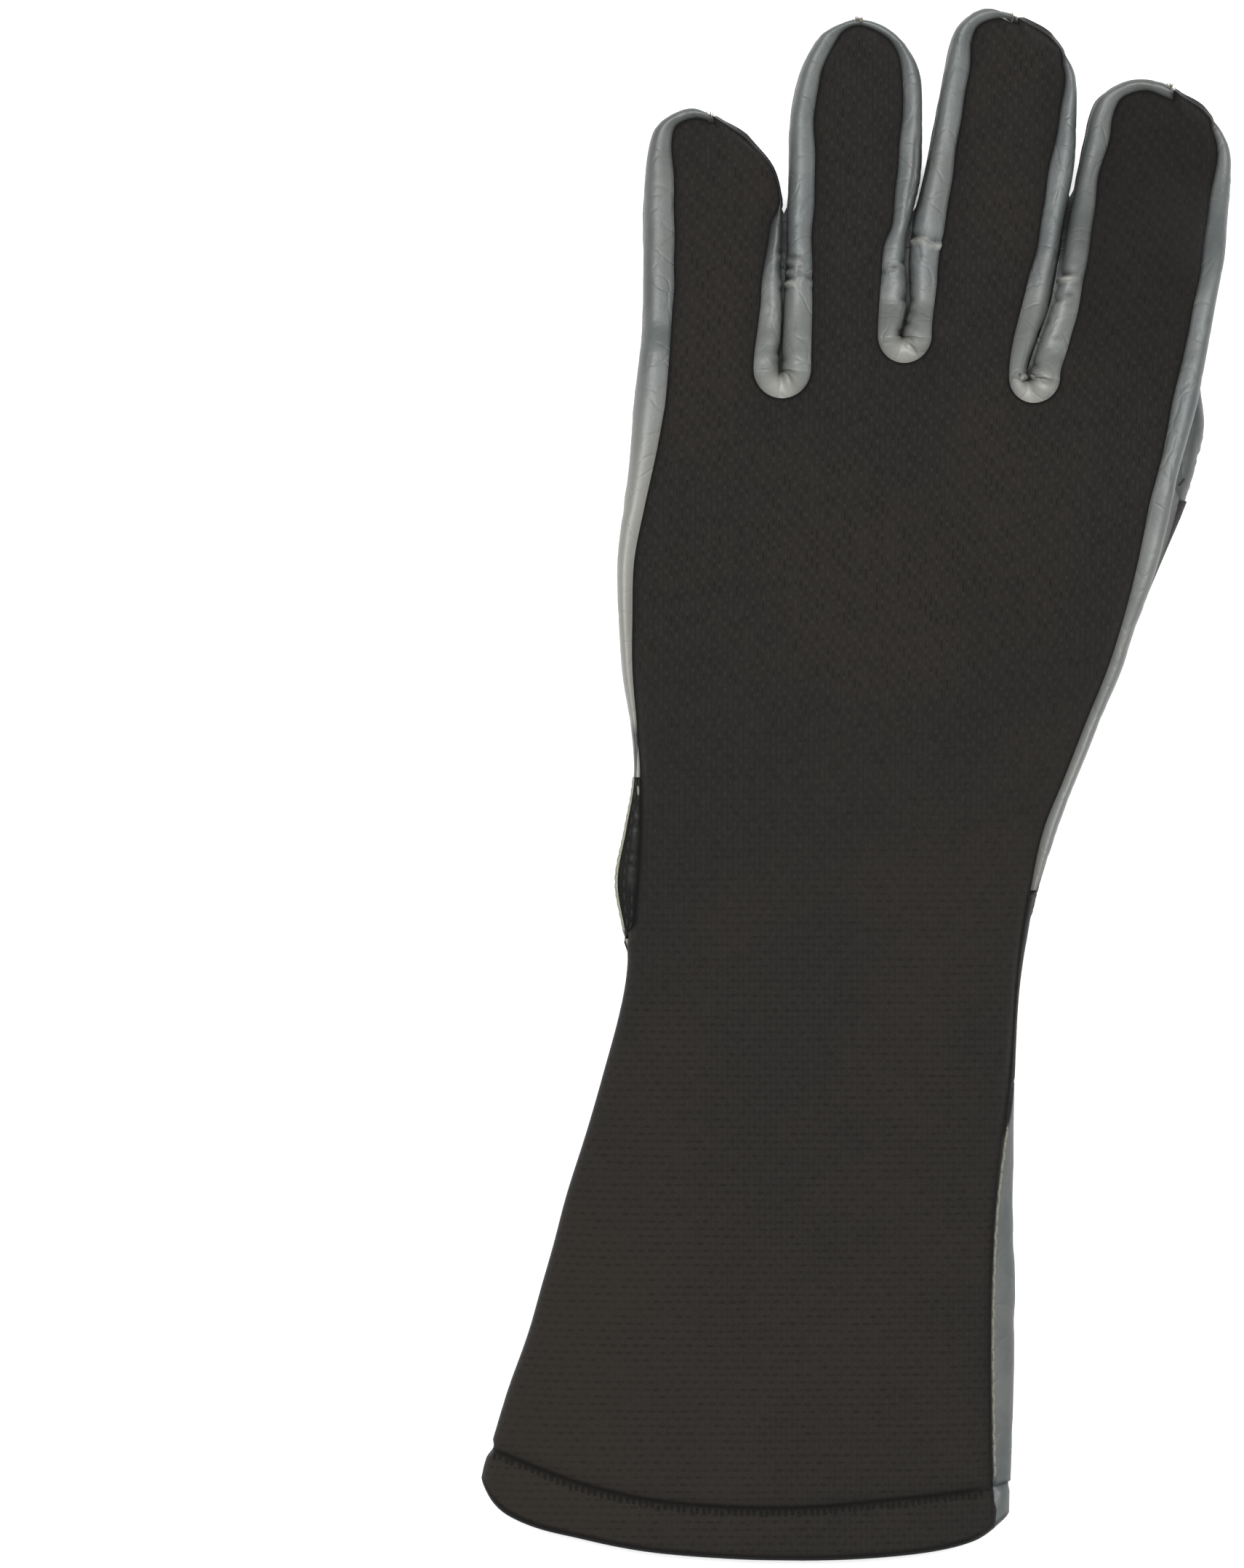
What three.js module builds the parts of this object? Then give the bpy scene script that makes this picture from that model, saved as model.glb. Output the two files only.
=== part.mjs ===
import * as THREE from 'three';

// Arc flash glove for the left hand, lying palm down with the thumb folded under the palm.
// Millimetres. X points to the thumb side, Y to the fingertips, Z up. The floor is Z = 0.

// Driving dimensions
const KNIT_WALL = 1.8;
const LEATHER_WALL = 1.2;
const KNIT_HEM_WALL = 3.2;
const LEATHER_HEM_WALL = 2.4;
const SEAM_GAP = 0.3;
const HALF_GAP = SEAM_GAP / 2;
const FINGER_COLUMNS = 6;
const BODY_COLUMNS = 24;
const WRIST_PALM_COLUMNS = 18;
const SIDE_PANEL_COLUMNS = 9;
const STRIP_UPPER_STEPS = 3;
const STRIP_LOWER_STEPS = 2;
const THUMB_WALL_STEPS = 2;
const ARC_STEPS = 400;
const SECTION_STEPS = 90;
const ANGLE_STEP = 0.004;
const CORNERS_PER_MM = 2000;
const CROTCH_ANGLES = [0, 30, 60, 90];
const WEB_HALF_WIDTH = 0.75;
const PALM_SEAM_INSET = 1.9;
const STRIP_ROLL = 0.9;
const STRIP_FULL_WIDTH = 3;
const SEAM_LEAN = 0.6;
const RADIAL_STRIP_SIDE_SHARE = 0.75;
const FINGER_TIP_HEIGHT = 10.5;
const FINGER_BASE_HEIGHT = 15;
const FINGER_EDGE_SHARE = 0.8;
const FINGER_BACK_LIFT_SHARE = 0.85;
const TIP_SPREAD_POWER = 3;
const CROTCH_DIP = 4;
const CROTCH_DIP_REACH = 9;
const PALM_EDGE_RISE = 1.2;
const PALM_FLAT_SHARE = 0.72;
const SIDE_HEIGHT_SHARE = 0.42;
const TOP_ROUNDING = 2.6;
const BOTTOM_ROUNDING = 6;
const THUMB_CROTCH_Y = 59.4;
const THUMB_HEIGHT = 10.4;
const THUMB_LIFT = 11.3;
const THUMB_LIFT_RADIUS = 17;
const THUMB_LIFT_FALL = 13;
const BACK_LIFT = 7.5;
const BACK_LIFT_RADIUS = 13;
const BACK_LIFT_FALL = 38;
const THUMB_BOTTOM_INSET = 2.2;
const THUMB_TOP_INSET = 3.4;
const THUMB_EDGE_DROP = 1.4;
const UNDERSIDE_START = 0.1;
const UNDERSIDE_SPAN = 0.67;
const GATHER_Y = -23.6;
const GATHER_DEPTH = 2.6;
const GATHER_FOLDS = 4;
const GATHER_SLANT = 0.12;
const GATHER_EDGE_FADE = 6;
const GATHER_REACH_HAND = 15;
const GATHER_REACH_CUFF = 34;
const FLAP_START_Y = 0.5;
const FLAP_TURN_Y = -31;
const FLAP_END_Y = -38;
const FLAP_SIDE_SHARE = 0.4;
const RADIAL_STRIP_END_Y = -24;
const RADIAL_STRIP_END_REACH = 9;
const GUSSET_END_Y = 4.9;
const SIDE_PANEL_TURN_Y = -60;
const SIDE_PANEL_END_Y = -76;
const POINT_SHARE = 0.9;
const HEM_EASE_START_Y = -112.6;
const HEM_PASSES = 3;

// Fingers, little finger first. At each height y: the outline and the knit's edges.
// notch is the place along the tip, in columns, where the two strips of the finger meet.
// lift is the share of the thumb's lift that the finger takes.
const FINGERS = [
  {
    notch: 3, lift: 0, outlineTip: [-35.0, 143.8], knitTip: [-34.1, 141.6],
    rows: [
      { y: 136.9, left: -44.0, knitLeft: -39.4, knitRight: -24.6, right: -22.9 },
      { y: 130.7, left: -45.0, knitLeft: -39.2, knitRight: -19.6, right: -17.6 },
      { y: 121.4, left: -45.4, knitLeft: -38.8, knitRight: -18.2, right: -15.9 },
      { y: 109.0, left: -45.4, knitLeft: -38.8, knitRight: -19.7, right: -16.6 },
      { y: 98.2, left: -45.6, knitLeft: -39.4, knitRight: -20.8, right: -16.6 },
    ],
  },
  {
    notch: 3, lift: 0, outlineTip: [0.9, 163.1], knitTip: [0.3, 161.6],
    rows: [
      { y: 157.6, left: -9.0, knitLeft: -4.6, knitRight: 7.9, right: 10.5 },
      { y: 151.6, left: -12.0, knitLeft: -7.4, knitRight: 9.9, right: 13.8 },
      { y: 143.1, left: -13.8, knitLeft: -8.8, knitRight: 9.9, right: 14.3 },
      { y: 130.7, left: -14.2, knitLeft: -8.8, knitRight: 9.0, right: 14.1 },
      { y: 115.2, left: -14.6, knitLeft: -9.4, knitRight: 6.6, right: 11.8 },
      { y: 102.8, left: -14.8, knitLeft: -9.6, knitRight: 5.0, right: 9.7 },
    ],
  },
  {
    notch: 4, lift: 0.3, outlineTip: [28.5, 165.5], knitTip: [31.0, 163.1],
    rows: [
      { y: 158.6, left: 20.6, knitLeft: 24.8, knitRight: 40.1, right: 42.2 },
      { y: 152.4, left: 19.2, knitLeft: 24.2, knitRight: 43.6, right: 46.6 },
      { y: 144.7, left: 17.7, knitLeft: 22.9, knitRight: 43.8, right: 47.5 },
      { y: 130.7, left: 15.0, knitLeft: 20.8, knitRight: 41.4, right: 46.5 },
      { y: 115.2, left: 12.7, knitLeft: 18.7, knitRight: 38.8, right: 43.4 },
      { y: 102.8, left: 11.4, knitLeft: 16.8, knitRight: 36.2, right: 41.2 },
    ],
  },
  {
    notch: 4, lift: 1, outlineTip: [60.5, 150.1], knitTip: [62.0, 147.5],
    rows: [
      { y: 143.1, left: 50.5, knitLeft: 55.2, knitRight: 72.3, right: 74.7 },
      { y: 136.9, left: 49.2, knitLeft: 54.1, knitRight: 76.5, right: 79.5 },
      { y: 129.2, left: 47.6, knitLeft: 51.9, knitRight: 76.6, right: 80.4 },
      { y: 116.8, left: 45.4, knitLeft: 49.8, knitRight: 74.1, right: 78.9 },
      { y: 102.8, left: 42.9, knitLeft: 47.3, knitRight: 71.6, right: 76.3 },
      { y: 91.5, left: 39.4, knitLeft: 44.6, knitRight: 69.2, right: 74.2 },
    ],
  },
];

// Crotches between neighbouring fingers: x, y of the knit's lowest point and the knit's radius
const CROTCHES = [
  { between: 'pinky_ring', x: -15.9, bottom: 81.5, radius: 6.1 },
  { between: 'ring_middle', x: 10.4, bottom: 89.0, radius: 5.9 },
  { between: 'middle_index', x: 38.2, bottom: 79.7, radius: 6.2 },
];

// Hand above the thumb's crotch, from the finger roots
const HAND = [
  { y: 79.6, left: -47.6, knitLeft: -40.9, knitRight: 66.3, right: 71.8, crown: 17 },
  { y: 70.3, left: -48.2, knitLeft: -42.6, knitRight: 64.6, right: 69.3, crown: 17.5 },
  { y: 59.4, left: -49.6, knitLeft: -45.0, knitRight: 61.8, right: 66.5, crown: 17.5 },
];

// Hand below the thumb's crotch, wrist and cuff. The knit's left edge is on top down to the flap's end.
const CUFF = [
  { y: 59.4, left: -49.6, knitLeft: -45.0, knitRight: 61.8, right: 70.4, crown: 17.5 },
  { y: 47.0, left: -51.0, knitLeft: -47.4, knitRight: 59.5, right: 65.1, crown: 17.5 },
  { y: 34.6, left: -50.7, knitLeft: -47.8, knitRight: 56.6, right: 60.2, crown: 17 },
  { y: 23.8, left: -49.4, knitLeft: -47.0, knitRight: 53.4, right: 56.7, crown: 16.5 },
  { y: 11.4, left: -47.4, knitLeft: -45.6, knitRight: 48.6, right: 51.6, crown: 15.5 },
  { y: 0.5, left: -46.8, knitLeft: -44.2, knitRight: 44.4, right: 47.4, crown: 15 },
  { y: -10.3, left: -48.8, knitLeft: -45.1, knitRight: 40.1, right: 43.1, crown: 14.5 },
  { y: -21.9, left: -51.4, knitLeft: -46.8, knitRight: 37.6, right: 39.6, crown: 14 },
  { y: -39.0, left: -48.8, knitLeft: -48.4, knitRight: 35.0, right: 35.8, crown: 14 },
  { y: -63.0, left: -54.1, knitLeft: -53.9, knitRight: 33.2, right: 34.1, crown: 14 },
  { y: -90.9, left: -62.5, knitLeft: -62.3, knitRight: 29.8, right: 33.9, crown: 14 },
  { y: -112.6, left: -68.4, knitLeft: -68.2, knitRight: 28.8, right: 34.2, crown: 14 },
  { y: -131.2, left: -74.4, knitLeft: -74.2, knitRight: 28.8, right: 33.8, crown: 14.5 },
  { y: -149.0, left: -80.1, knitLeft: -79.9, knitRight: 29.1, right: 33.2, crown: 15 },
  { y: -165.3, left: -83.6, knitLeft: -83.4, knitRight: 29.4, right: 32.4, crown: 15.5 },
];

// Where the leather palm's long seams run under the wrist and cuff: x on the underside
const ULNAR_SEAM = [
  { y: 59.4, x: -47.9 },
  { y: 39.9, x: -48.8 },
  { y: 17.9, x: -46.4 },
  { y: 0.5, x: -45.4 },
  { y: -21.9, x: -49.4 },
  { y: -38, x: -47.6 },
  { y: -90.9, x: -40.0 },
  { y: -165.3, x: -28.0 },
];
const RADIAL_SEAM = [
  { y: 59.4, palm: 40.6, knit: 41.6 },
  { y: 49.7, palm: 35.2, knit: 38.6 },
  { y: 39.9, palm: 25.6, knit: 32.4 },
  { y: 28.4, palm: 20.3, knit: 27.9 },
  { y: 17.9, palm: 17.7, knit: 24.0 },
  { y: 4.9, palm: 17.2, knit: 18.6 },
  { y: -23.6, palm: 12.7, knit: 12.7 },
  { y: -47.5, palm: 23.6, knit: 23.6 },
  { y: -63.0, palm: 33.2, knit: 33.2 },
];

// Angle round the cuff's section, from the radial fold up, of the radial strip's lower edge
const RADIAL_STRIP_ANGLE = [
  { y: 59.4, angle: 24 },
  { y: 47.0, angle: 17 },
  { y: 34.6, angle: 13 },
  { y: 23.8, angle: 8 },
  { y: 11.4, angle: -6 },
  { y: 0.5, angle: -12 },
  { y: -10.3, angle: -6 },
  { y: -24, angle: 11 },
];

// Thumb, folded under the palm
const THUMB_TIP = [64.2, 110.3];
const THUMB = [
  { y: 104.5, left: 54.5, right: 71.2 },
  { y: 98.6, left: 50.0, right: 72.8 },
  { y: 91.5, left: 46.8, right: 73.4 },
  { y: 84.0, left: 44.9, right: 73.9 },
  { y: 76.5, left: 43.2, right: 74.7 },
  { y: 67.2, left: 41.7, right: 73.2 },
  { y: 59.7, left: 41.2, right: 70.4 },
];
const THUMB_AXIS = [[61.5, 98.2], [58.0, 76.5], [54.6, 59.4]];

// Hem at each x: its stitched line and its free edge, on the back and on the palm side
const HEM = [
  { x: -81, stitch: -141.8, edge: -148.5, underStitch: -141.8, underEdge: -148.5 },
  { x: -74, stitch: -144.2, edge: -156.3, underStitch: -144.0, underEdge: -152.8 },
  { x: -58, stitch: -149.8, edge: -161.0, underStitch: -146.4, underEdge: -155.2 },
  { x: -41, stitch: -153.3, edge: -163.9, underStitch: -147.6, underEdge: -156.6 },
  { x: -15, stitch: -154.6, edge: -165.3, underStitch: -148.4, underEdge: -157.2 },
  { x: 10, stitch: -152.7, edge: -164.4, underStitch: -148.6, underEdge: -157.4 },
  { x: 25, stitch: -151.2, edge: -161.6, underStitch: -148.8, underEdge: -157.2 },
  { x: 33, stitch: -149.6, edge: -156.6, underStitch: -149.6, underEdge: -156.6 },
];

// Rows of the hem from its stitched line to its free edge, and how far each stands out
const HEM_ROWS = [
  { share: 0, puff: 0.5 },
  { share: 0.5, puff: 0.75 },
  { share: 1, puff: 0.5 },
];

// Rows of the hand; ease is how much of the finger roots' curve a row keeps
const HAND_ROWS = [
  { y: 73.5, ease: 0.45 },
  { y: 66.2, ease: 0.12 },
  { y: THUMB_CROTCH_Y, ease: 0 },
];
const CUFF_ROW_YS = [
  50.5, 41, 31, 21, 12, FLAP_START_Y, -7, -15.5, RADIAL_STRIP_END_Y,
  FLAP_TURN_Y, (FLAP_TURN_Y + FLAP_END_Y) / 2, FLAP_END_Y, -47,
  SIDE_PANEL_TURN_Y, (SIDE_PANEL_TURN_Y + SIDE_PANEL_END_Y) / 2, SIDE_PANEL_END_Y,
  -94, HEM_EASE_START_Y, -125, -137, -148.5,
];

// How far the columns move from the finger roots' spacing to even spacing down the hand,
// and over how many rows below it they finish
const HAND_SPACING_LOSS = 0.3;
const EVEN_SPACING_ROWS = 5;

// Small maths
function vector(x, y, z) {
  return new THREE.Vector3(x, y, z);
}

function lerp(a, b, t) {
  return a + (b - a) * t;
}

function clamp01(t) {
  return Math.min(1, Math.max(0, t));
}

function smooth(t) {
  const s = clamp01(t);
  return s * s * (3 - 2 * s);
}

function radians(degrees) {
  return degrees * Math.PI / 180;
}

function evenShares(count) {
  return Array.from({ length: count + 1 }, (_, i) => i / count);
}

// Value of one column of a table at a given key, along a smooth curve through its rows
function column(table, key, name, at) {
  const rows = table[0][key] < table[table.length - 1][key] ? table : [...table].reverse();
  let i = rows.findIndex((row) => row[key] > at) - 1;
  if (i === -2) i = rows.length - 2;
  i = Math.min(Math.max(i, 0), rows.length - 2);
  const [a, b] = [rows[i], rows[i + 1]];
  const span = b[key] - a[key];
  const slope = (b[name] - a[name]) / span;
  const before = rows[i - 1];
  const after = rows[i + 2];
  const startSlope = before ? (b[name] - before[name]) / (b[key] - before[key]) : slope;
  const endSlope = after ? (after[name] - a[name]) / (after[key] - a[key]) : slope;
  const t = (at - a[key]) / span;
  if (t < 0 || t > 1) return a[name] + slope * (at - a[key]);
  const h = t * t * (3 - 2 * t);
  const g0 = t * (1 - t) * (1 - t) * span;
  const g1 = -t * t * (1 - t) * span;
  return lerp(a[name], b[name], h) + g0 * startSlope + g1 * endSlope;
}

function distanceToPath(x, y, path) {
  let best = Infinity;
  for (let i = 0; i + 1 < path.length; i += 1) {
    const [ax, ay] = path[i];
    const [bx, by] = path[i + 1];
    const [dx, dy] = [bx - ax, by - ay];
    const t = clamp01(((x - ax) * dx + (y - ay) * dy) / (dx * dx + dy * dy));
    best = Math.min(best, Math.hypot(x - ax - dx * t, y - ay - dy * t));
  }
  return best;
}

// How far the thumb under the palm lifts the palm and the back
function palmLift(x, y) {
  const d = distanceToPath(x, y, THUMB_AXIS);
  return THUMB_LIFT * (1 - smooth((d - THUMB_LIFT_RADIUS) / THUMB_LIFT_FALL));
}

function backLift(x, y) {
  const d = distanceToPath(x, y, THUMB_AXIS);
  return BACK_LIFT * (1 - smooth((d - BACK_LIFT_RADIUS) / BACK_LIFT_FALL));
}

// A sheet gathers outer faces, whose corners may carry their own inward direction,
// and closes them into a wall of even thickness. Its rim quads are cut so that the rims on
// both sides of a seam have matching diagonals.
class Sheet {
  constructor() {
    this.corners = [];
    this.known = new Map();
    this.faces = [];
  }

  corner(c) {
    const key = [c.p.x, c.p.y, c.p.z].map((v) => Math.round(v * CORNERS_PER_MM)).join();
    if (!this.known.has(key)) {
      this.known.set(key, this.corners.length);
      this.corners.push(c);
    }
    return this.known.get(key);
  }

  face(a, b, c) {
    if (a !== b && b !== c && c !== a) this.faces.push([a, b, c]);
  }

  // Rows of corners; faces look up when rows run down the hand and columns run to +X.
  // Each quad is cut along its shorter diagonal.
  patch(rows, flip = false) {
    for (let r = 0; r + 1 < rows.length; r += 1) {
      for (let c = 0; c + 1 < rows[r].length; c += 1) {
        const quad = [rows[r][c], rows[r + 1][c], rows[r + 1][c + 1], rows[r][c + 1]];
        if (quad[0].p.distanceTo(quad[2].p) > quad[1].p.distanceTo(quad[3].p)) quad.push(quad.shift());
        const [i, j, k, l] = quad.map((corner) => this.corner(corner));
        this.face(i, flip ? k : j, flip ? j : k);
        this.face(i, flip ? l : k, flip ? k : l);
      }
    }
    return this;
  }

  normals() {
    const normals = this.corners.map(() => vector(0, 0, 0));
    for (const [a, b, c] of this.faces) {
      const ab = this.corners[b].p.clone().sub(this.corners[a].p);
      const ac = this.corners[c].p.clone().sub(this.corners[a].p);
      const n = ab.cross(ac);
      for (const i of [a, b, c]) normals[i].add(n);
    }
    return normals.map((n) => n.normalize());
  }

  geometry(thickness) {
    const count = this.corners.length;
    const normals = this.normals();
    const outer = this.corners.map((c) => c.p);
    const inner = this.corners.map((c, i) => {
      const inward = c.inward ? c.inward.clone() : normals[i].clone().negate();
      return c.p.clone().addScaledVector(inward, thickness);
    });
    const triangles = [];
    const edges = new Map();
    for (const [a, b, c] of this.faces) {
      triangles.push(a, b, c, c + count, b + count, a + count);
      for (const [s, e] of [[a, b], [b, c], [c, a]]) {
        if (edges.has(`${e},${s}`)) edges.delete(`${e},${s}`);
        else edges.set(`${s},${e}`, [s, e]);
      }
    }
    for (const [s, e] of edges.values()) {
      const along = outer[s].clone().sub(outer[e]);
      const matching = along.y + along.x / 2 > 0;
      if (matching) triangles.push(e, s, s + count, e, s + count, e + count);
      else triangles.push(e, s, e + count, s, s + count, e + count);
    }
    const positions = [...outer, ...inner].flatMap((p) => [p.x, p.y, p.z]);
    const geometry = new THREE.BufferGeometry();
    geometry.setAttribute('position', new THREE.Float32BufferAttribute(positions, 3));
    geometry.setIndex(triangles);
    geometry.computeVertexNormals();
    return geometry;
  }
}

// Seams: a point, the way into the wall, and the way from the panel to its neighbour
function seam(p, inward, out) {
  return { p, inward, out };
}

function panelSide(s) {
  return { p: s.p.clone().addScaledVector(s.out, -SEAM_GAP / 2), inward: s.inward };
}

function neighbourSide(s) {
  return { p: s.p.clone().addScaledVector(s.out, SEAM_GAP / 2), inward: s.inward };
}

const DOWN = vector(0, 0, -1);
const UP = vector(0, 0, 1);

// Way into the wall at a seam: down or up, leaning under the panel
function leaning(direction, out) {
  return direction.clone().addScaledVector(out, -SEAM_LEAN).normalize();
}

// Section of the hand and cuff at height y, by the angle round it from the radial fold
function sectionBox(y, table) {
  const left = column(table, 'y', 'left', y);
  const right = column(table, 'y', 'right', y);
  return { centre: (left + right) / 2, half: (right - left) / 2, crown: column(table, 'y', 'crown', y) };
}

function sectionPoint(y, angle, table, lifted, puff = 0) {
  const { centre, half, crown } = sectionBox(y, table);
  const cos = Math.cos(angle);
  const sin = Math.sin(angle);
  const power = 2 / (sin >= 0 ? TOP_ROUNDING : BOTTOM_ROUNDING);
  const x = centre + half * Math.sign(cos) * Math.abs(cos) ** power;
  const bottom = lifted ? palmLift(x, y) : 0;
  const top = crown + backLift(x, y) + puff;
  const side = lerp(bottom, top, SIDE_HEIGHT_SHARE);
  const share = Math.abs(sin) ** power;
  return vector(x, y, lerp(side, sin >= 0 ? top : bottom, share));
}

function sectionAngle(y, x, table, onTop) {
  const { centre, half } = sectionBox(y, table);
  const across = Math.min(1, Math.max(-1, (x - centre) / half));
  const power = (onTop ? TOP_ROUNDING : BOTTOM_ROUNDING) / 2;
  const angle = Math.acos(Math.sign(across) * Math.abs(across) ** power);
  return onTop ? angle : 2 * Math.PI - angle;
}

// Points at shares of the way round a section between two angles
function sectionRun(y, from, to, shares, table, lifted, puff = 0) {
  const dense = evenShares(SECTION_STEPS).map(
    (share) => sectionPoint(y, lerp(from, to, share), table, lifted, puff),
  );
  const lengths = [0];
  for (let i = 1; i <= SECTION_STEPS; i += 1) {
    lengths.push(lengths[i - 1] + dense[i].distanceTo(dense[i - 1]));
  }
  return shares.map((share) => {
    const wanted = share * lengths[SECTION_STEPS];
    const found = lengths.findIndex((length) => length >= wanted);
    const i = Math.max(1, found === -1 ? SECTION_STEPS : found);
    const t = (wanted - lengths[i - 1]) / (lengths[i] - lengths[i - 1]);
    return dense[i - 1].clone().lerp(dense[i], clamp01(t));
  });
}

// Seam on a section: towards is +1 when the neighbour lies at greater angles
function sectionSeam(y, angle, table, lifted, towards, puff = 0) {
  const p = sectionPoint(y, angle, table, lifted, puff);
  const ahead = sectionPoint(y, angle + ANGLE_STEP, table, lifted, puff);
  const behind = sectionPoint(y, angle - ANGLE_STEP, table, lifted, puff);
  const along = ahead.sub(behind).normalize();
  const inward = vector(-along.z, 0, along.x);
  return seam(p, inward, along.clone().multiplyScalar(towards));
}

// Finger stations. Each side is a list from the tip row to the root: knit edge, outline, palm edge.
function crotchPoint(crotch, side, degrees, radius) {
  const angle = radians(degrees);
  const centreY = crotch.bottom + crotch.radius;
  return [crotch.x + side * radius * Math.cos(angle), centreY - radius * Math.sin(angle)];
}

function crotchStations(crotch, side) {
  return CROTCH_ANGLES.map((degrees) => ({
    knit: crotchPoint(crotch, side, degrees, crotch.radius),
    outline: crotchPoint(crotch, side, degrees, WEB_HALF_WIDTH),
    palm: crotchPoint(crotch, side, degrees, WEB_HALF_WIDTH + PALM_SEAM_INSET),
  }));
}

function edgeStations(fromY, side) {
  const key = side < 0 ? ['knitLeft', 'left'] : ['knitRight', 'right'];
  const rootY = HAND[0].y;
  return CROTCH_ANGLES.map((_, i) => {
    const y = lerp(fromY, rootY, (i + 1) / CROTCH_ANGLES.length);
    const finger = side < 0 ? FINGERS[0] : FINGERS[3];
    const table = [finger.rows.at(-2), finger.rows.at(-1), HAND[0], HAND[1]];
    const outline = column(table, 'y', key[1], y);
    return {
      knit: [column(table, 'y', key[0], y), y],
      outline: [outline, y],
      palm: [outline - side * PALM_SEAM_INSET, y],
    };
  });
}

function sideStations(finger, index, side) {
  const [knit, outline] = side < 0 ? ['knitLeft', 'left'] : ['knitRight', 'right'];
  const shaft = finger.rows.map((row) => ({
    knit: [row[knit], row.y],
    outline: [row[outline], row.y],
    palm: [row[outline] - side * PALM_SEAM_INSET, row.y],
  }));
  const crotch = CROTCHES[side < 0 ? index - 1 : index];
  const rest = crotch ? crotchStations(crotch, -side) : edgeStations(finger.rows.at(-1).y, side);
  return [...shaft, ...rest];
}

// Rounded tip through a point, between the first stations of both sides
function tipArc(left, right, name, tip) {
  const knots = [left[1][name], left[0][name], tip, right[0][name], right[1][name]];
  const curve = new THREE.CatmullRomCurve3(knots.map(([x, y]) => vector(x, y, 0)), false, 'centripetal');
  curve.arcLengthDivisions = ARC_STEPS;
  const lengths = curve.getLengths();
  const start = lengths[ARC_STEPS / (knots.length - 1)];
  const end = lengths[ARC_STEPS - ARC_STEPS / (knots.length - 1)];
  return evenShares(FINGER_COLUMNS).map((share) => {
    const p = curve.getPointAt(lerp(start, end, share) / lengths[ARC_STEPS]);
    return [p.x, p.y];
  });
}

function tipStations(left, right, outlineTip, palmTip, knitTip) {
  const outline = tipArc(left, right, 'outline', outlineTip);
  const palm = tipArc(left, right, 'palm', palmTip);
  const knit = tipArc(left, right, 'knit', knitTip);
  return outline.map((point, i) => ({ outline: point, palm: palm[i], knit: knit[i] }));
}

function fingerFrame(finger, index) {
  const left = sideStations(finger, index, -1);
  const right = sideStations(finger, index, 1);
  const [x, y] = finger.outlineTip;
  const tip = tipStations(left, right, finger.outlineTip, [x, y - PALM_SEAM_INSET], finger.knitTip);
  return { finger, left, right, tip };
}

// Height of the back over the fingers and hand, and of the palm's underside
function crotchDip(x, y) {
  let dip = 0;
  for (const crotch of CROTCHES) {
    const d = Math.hypot(x - crotch.x, y - crotch.bottom) / CROTCH_DIP_REACH;
    dip += CROTCH_DIP * Math.exp(-d * d);
  }
  return dip;
}

function handTop(x, y, table = HAND) {
  return sectionPoint(y, sectionAngle(y, x, table, true), table, table === HAND).z - crotchDip(x, y);
}

function fingerTop(x, y, finger, rowShare, spread) {
  const height = lerp(FINGER_TIP_HEIGHT, FINGER_BASE_HEIGHT, rowShare);
  const lift = finger.lift * palmLift(x, y) * FINGER_BACK_LIFT_SHARE;
  return lift + height * lerp(1, FINGER_EDGE_SHARE, Math.min(1, spread) ** 2);
}

function edgeRise(spread) {
  const past = Math.max(0, spread - PALM_FLAT_SHARE) / (1 - PALM_FLAT_SHARE);
  return PALM_EDGE_RISE * past * past;
}

// How near a finger's column, on the tip row or below it, is to the finger's edge: 0 to 1
function spreadOf(c, onTip) {
  const across = Math.abs(2 * c / FINGER_COLUMNS - 1);
  return Math.min(1, (across ** TIP_SPREAD_POWER + (onTip ? 1 : 0)) ** (1 / TIP_SPREAD_POWER));
}

// Points of a finger's back or palm as [x, y]: the tip row, then straight rows to the root
function flatRows(frame, kind) {
  const below = frame.left.slice(1).map((station, i) => {
    const a = station[kind];
    const b = frame.right[i + 1][kind];
    return evenShares(FINGER_COLUMNS).map((t) => [lerp(a[0], b[0], t), lerp(a[1], b[1], t)]);
  });
  return [frame.tip.map((station) => station[kind]), ...below];
}

function fingerGrid(frame, kind) {
  const rows = flatRows(frame, kind);
  const last = rows.length - 1;
  const bodyRows = CROTCH_ANGLES.length;
  return rows.map((row, r) => row.map(([x, y], c) => {
    const body = smooth((r - (last - bodyRows)) / bodyRows);
    const spread = spreadOf(c, r === 0);
    if (kind === 'knit') {
      const z = lerp(fingerTop(x, y, frame.finger, r / last, spread), handTop(x, y), body);
      return vector(x, y, z);
    }
    const lift = lerp(frame.finger.lift, 1, body) * palmLift(x, y);
    return vector(x, y, lift + edgeRise(spread));
  }));
}

const frames = FINGERS.map(fingerFrame);
const backFingers = frames.map((frame) => fingerGrid(frame, 'knit'));
const palmFingers = frames.map((frame) => fingerGrid(frame, 'palm'));

function joinRoots(grids) {
  const roots = grids.map((grid) => grid.at(-1));
  return roots.flatMap((root, i) => (i === 0 ? root : root.slice(1)));
}

const backRoot = joinRoots(backFingers);
const palmRoot = joinRoots(palmFingers);

// Shares of the width at which the columns run, easing from the finger roots to even spacing
function easedShares(root, ease) {
  const first = root[0].x;
  const width = root.at(-1).x - first;
  return root.map((p, c) => lerp(c / (root.length - 1), (p.x - first) / width, ease));
}

function hemHeights(p, onTop) {
  const stitch = column(HEM, 'x', onTop ? 'stitch' : 'underStitch', p.x);
  const edge = column(HEM, 'x', onTop ? 'edge' : 'underEdge', p.x);
  return { stitch, edge };
}

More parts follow.
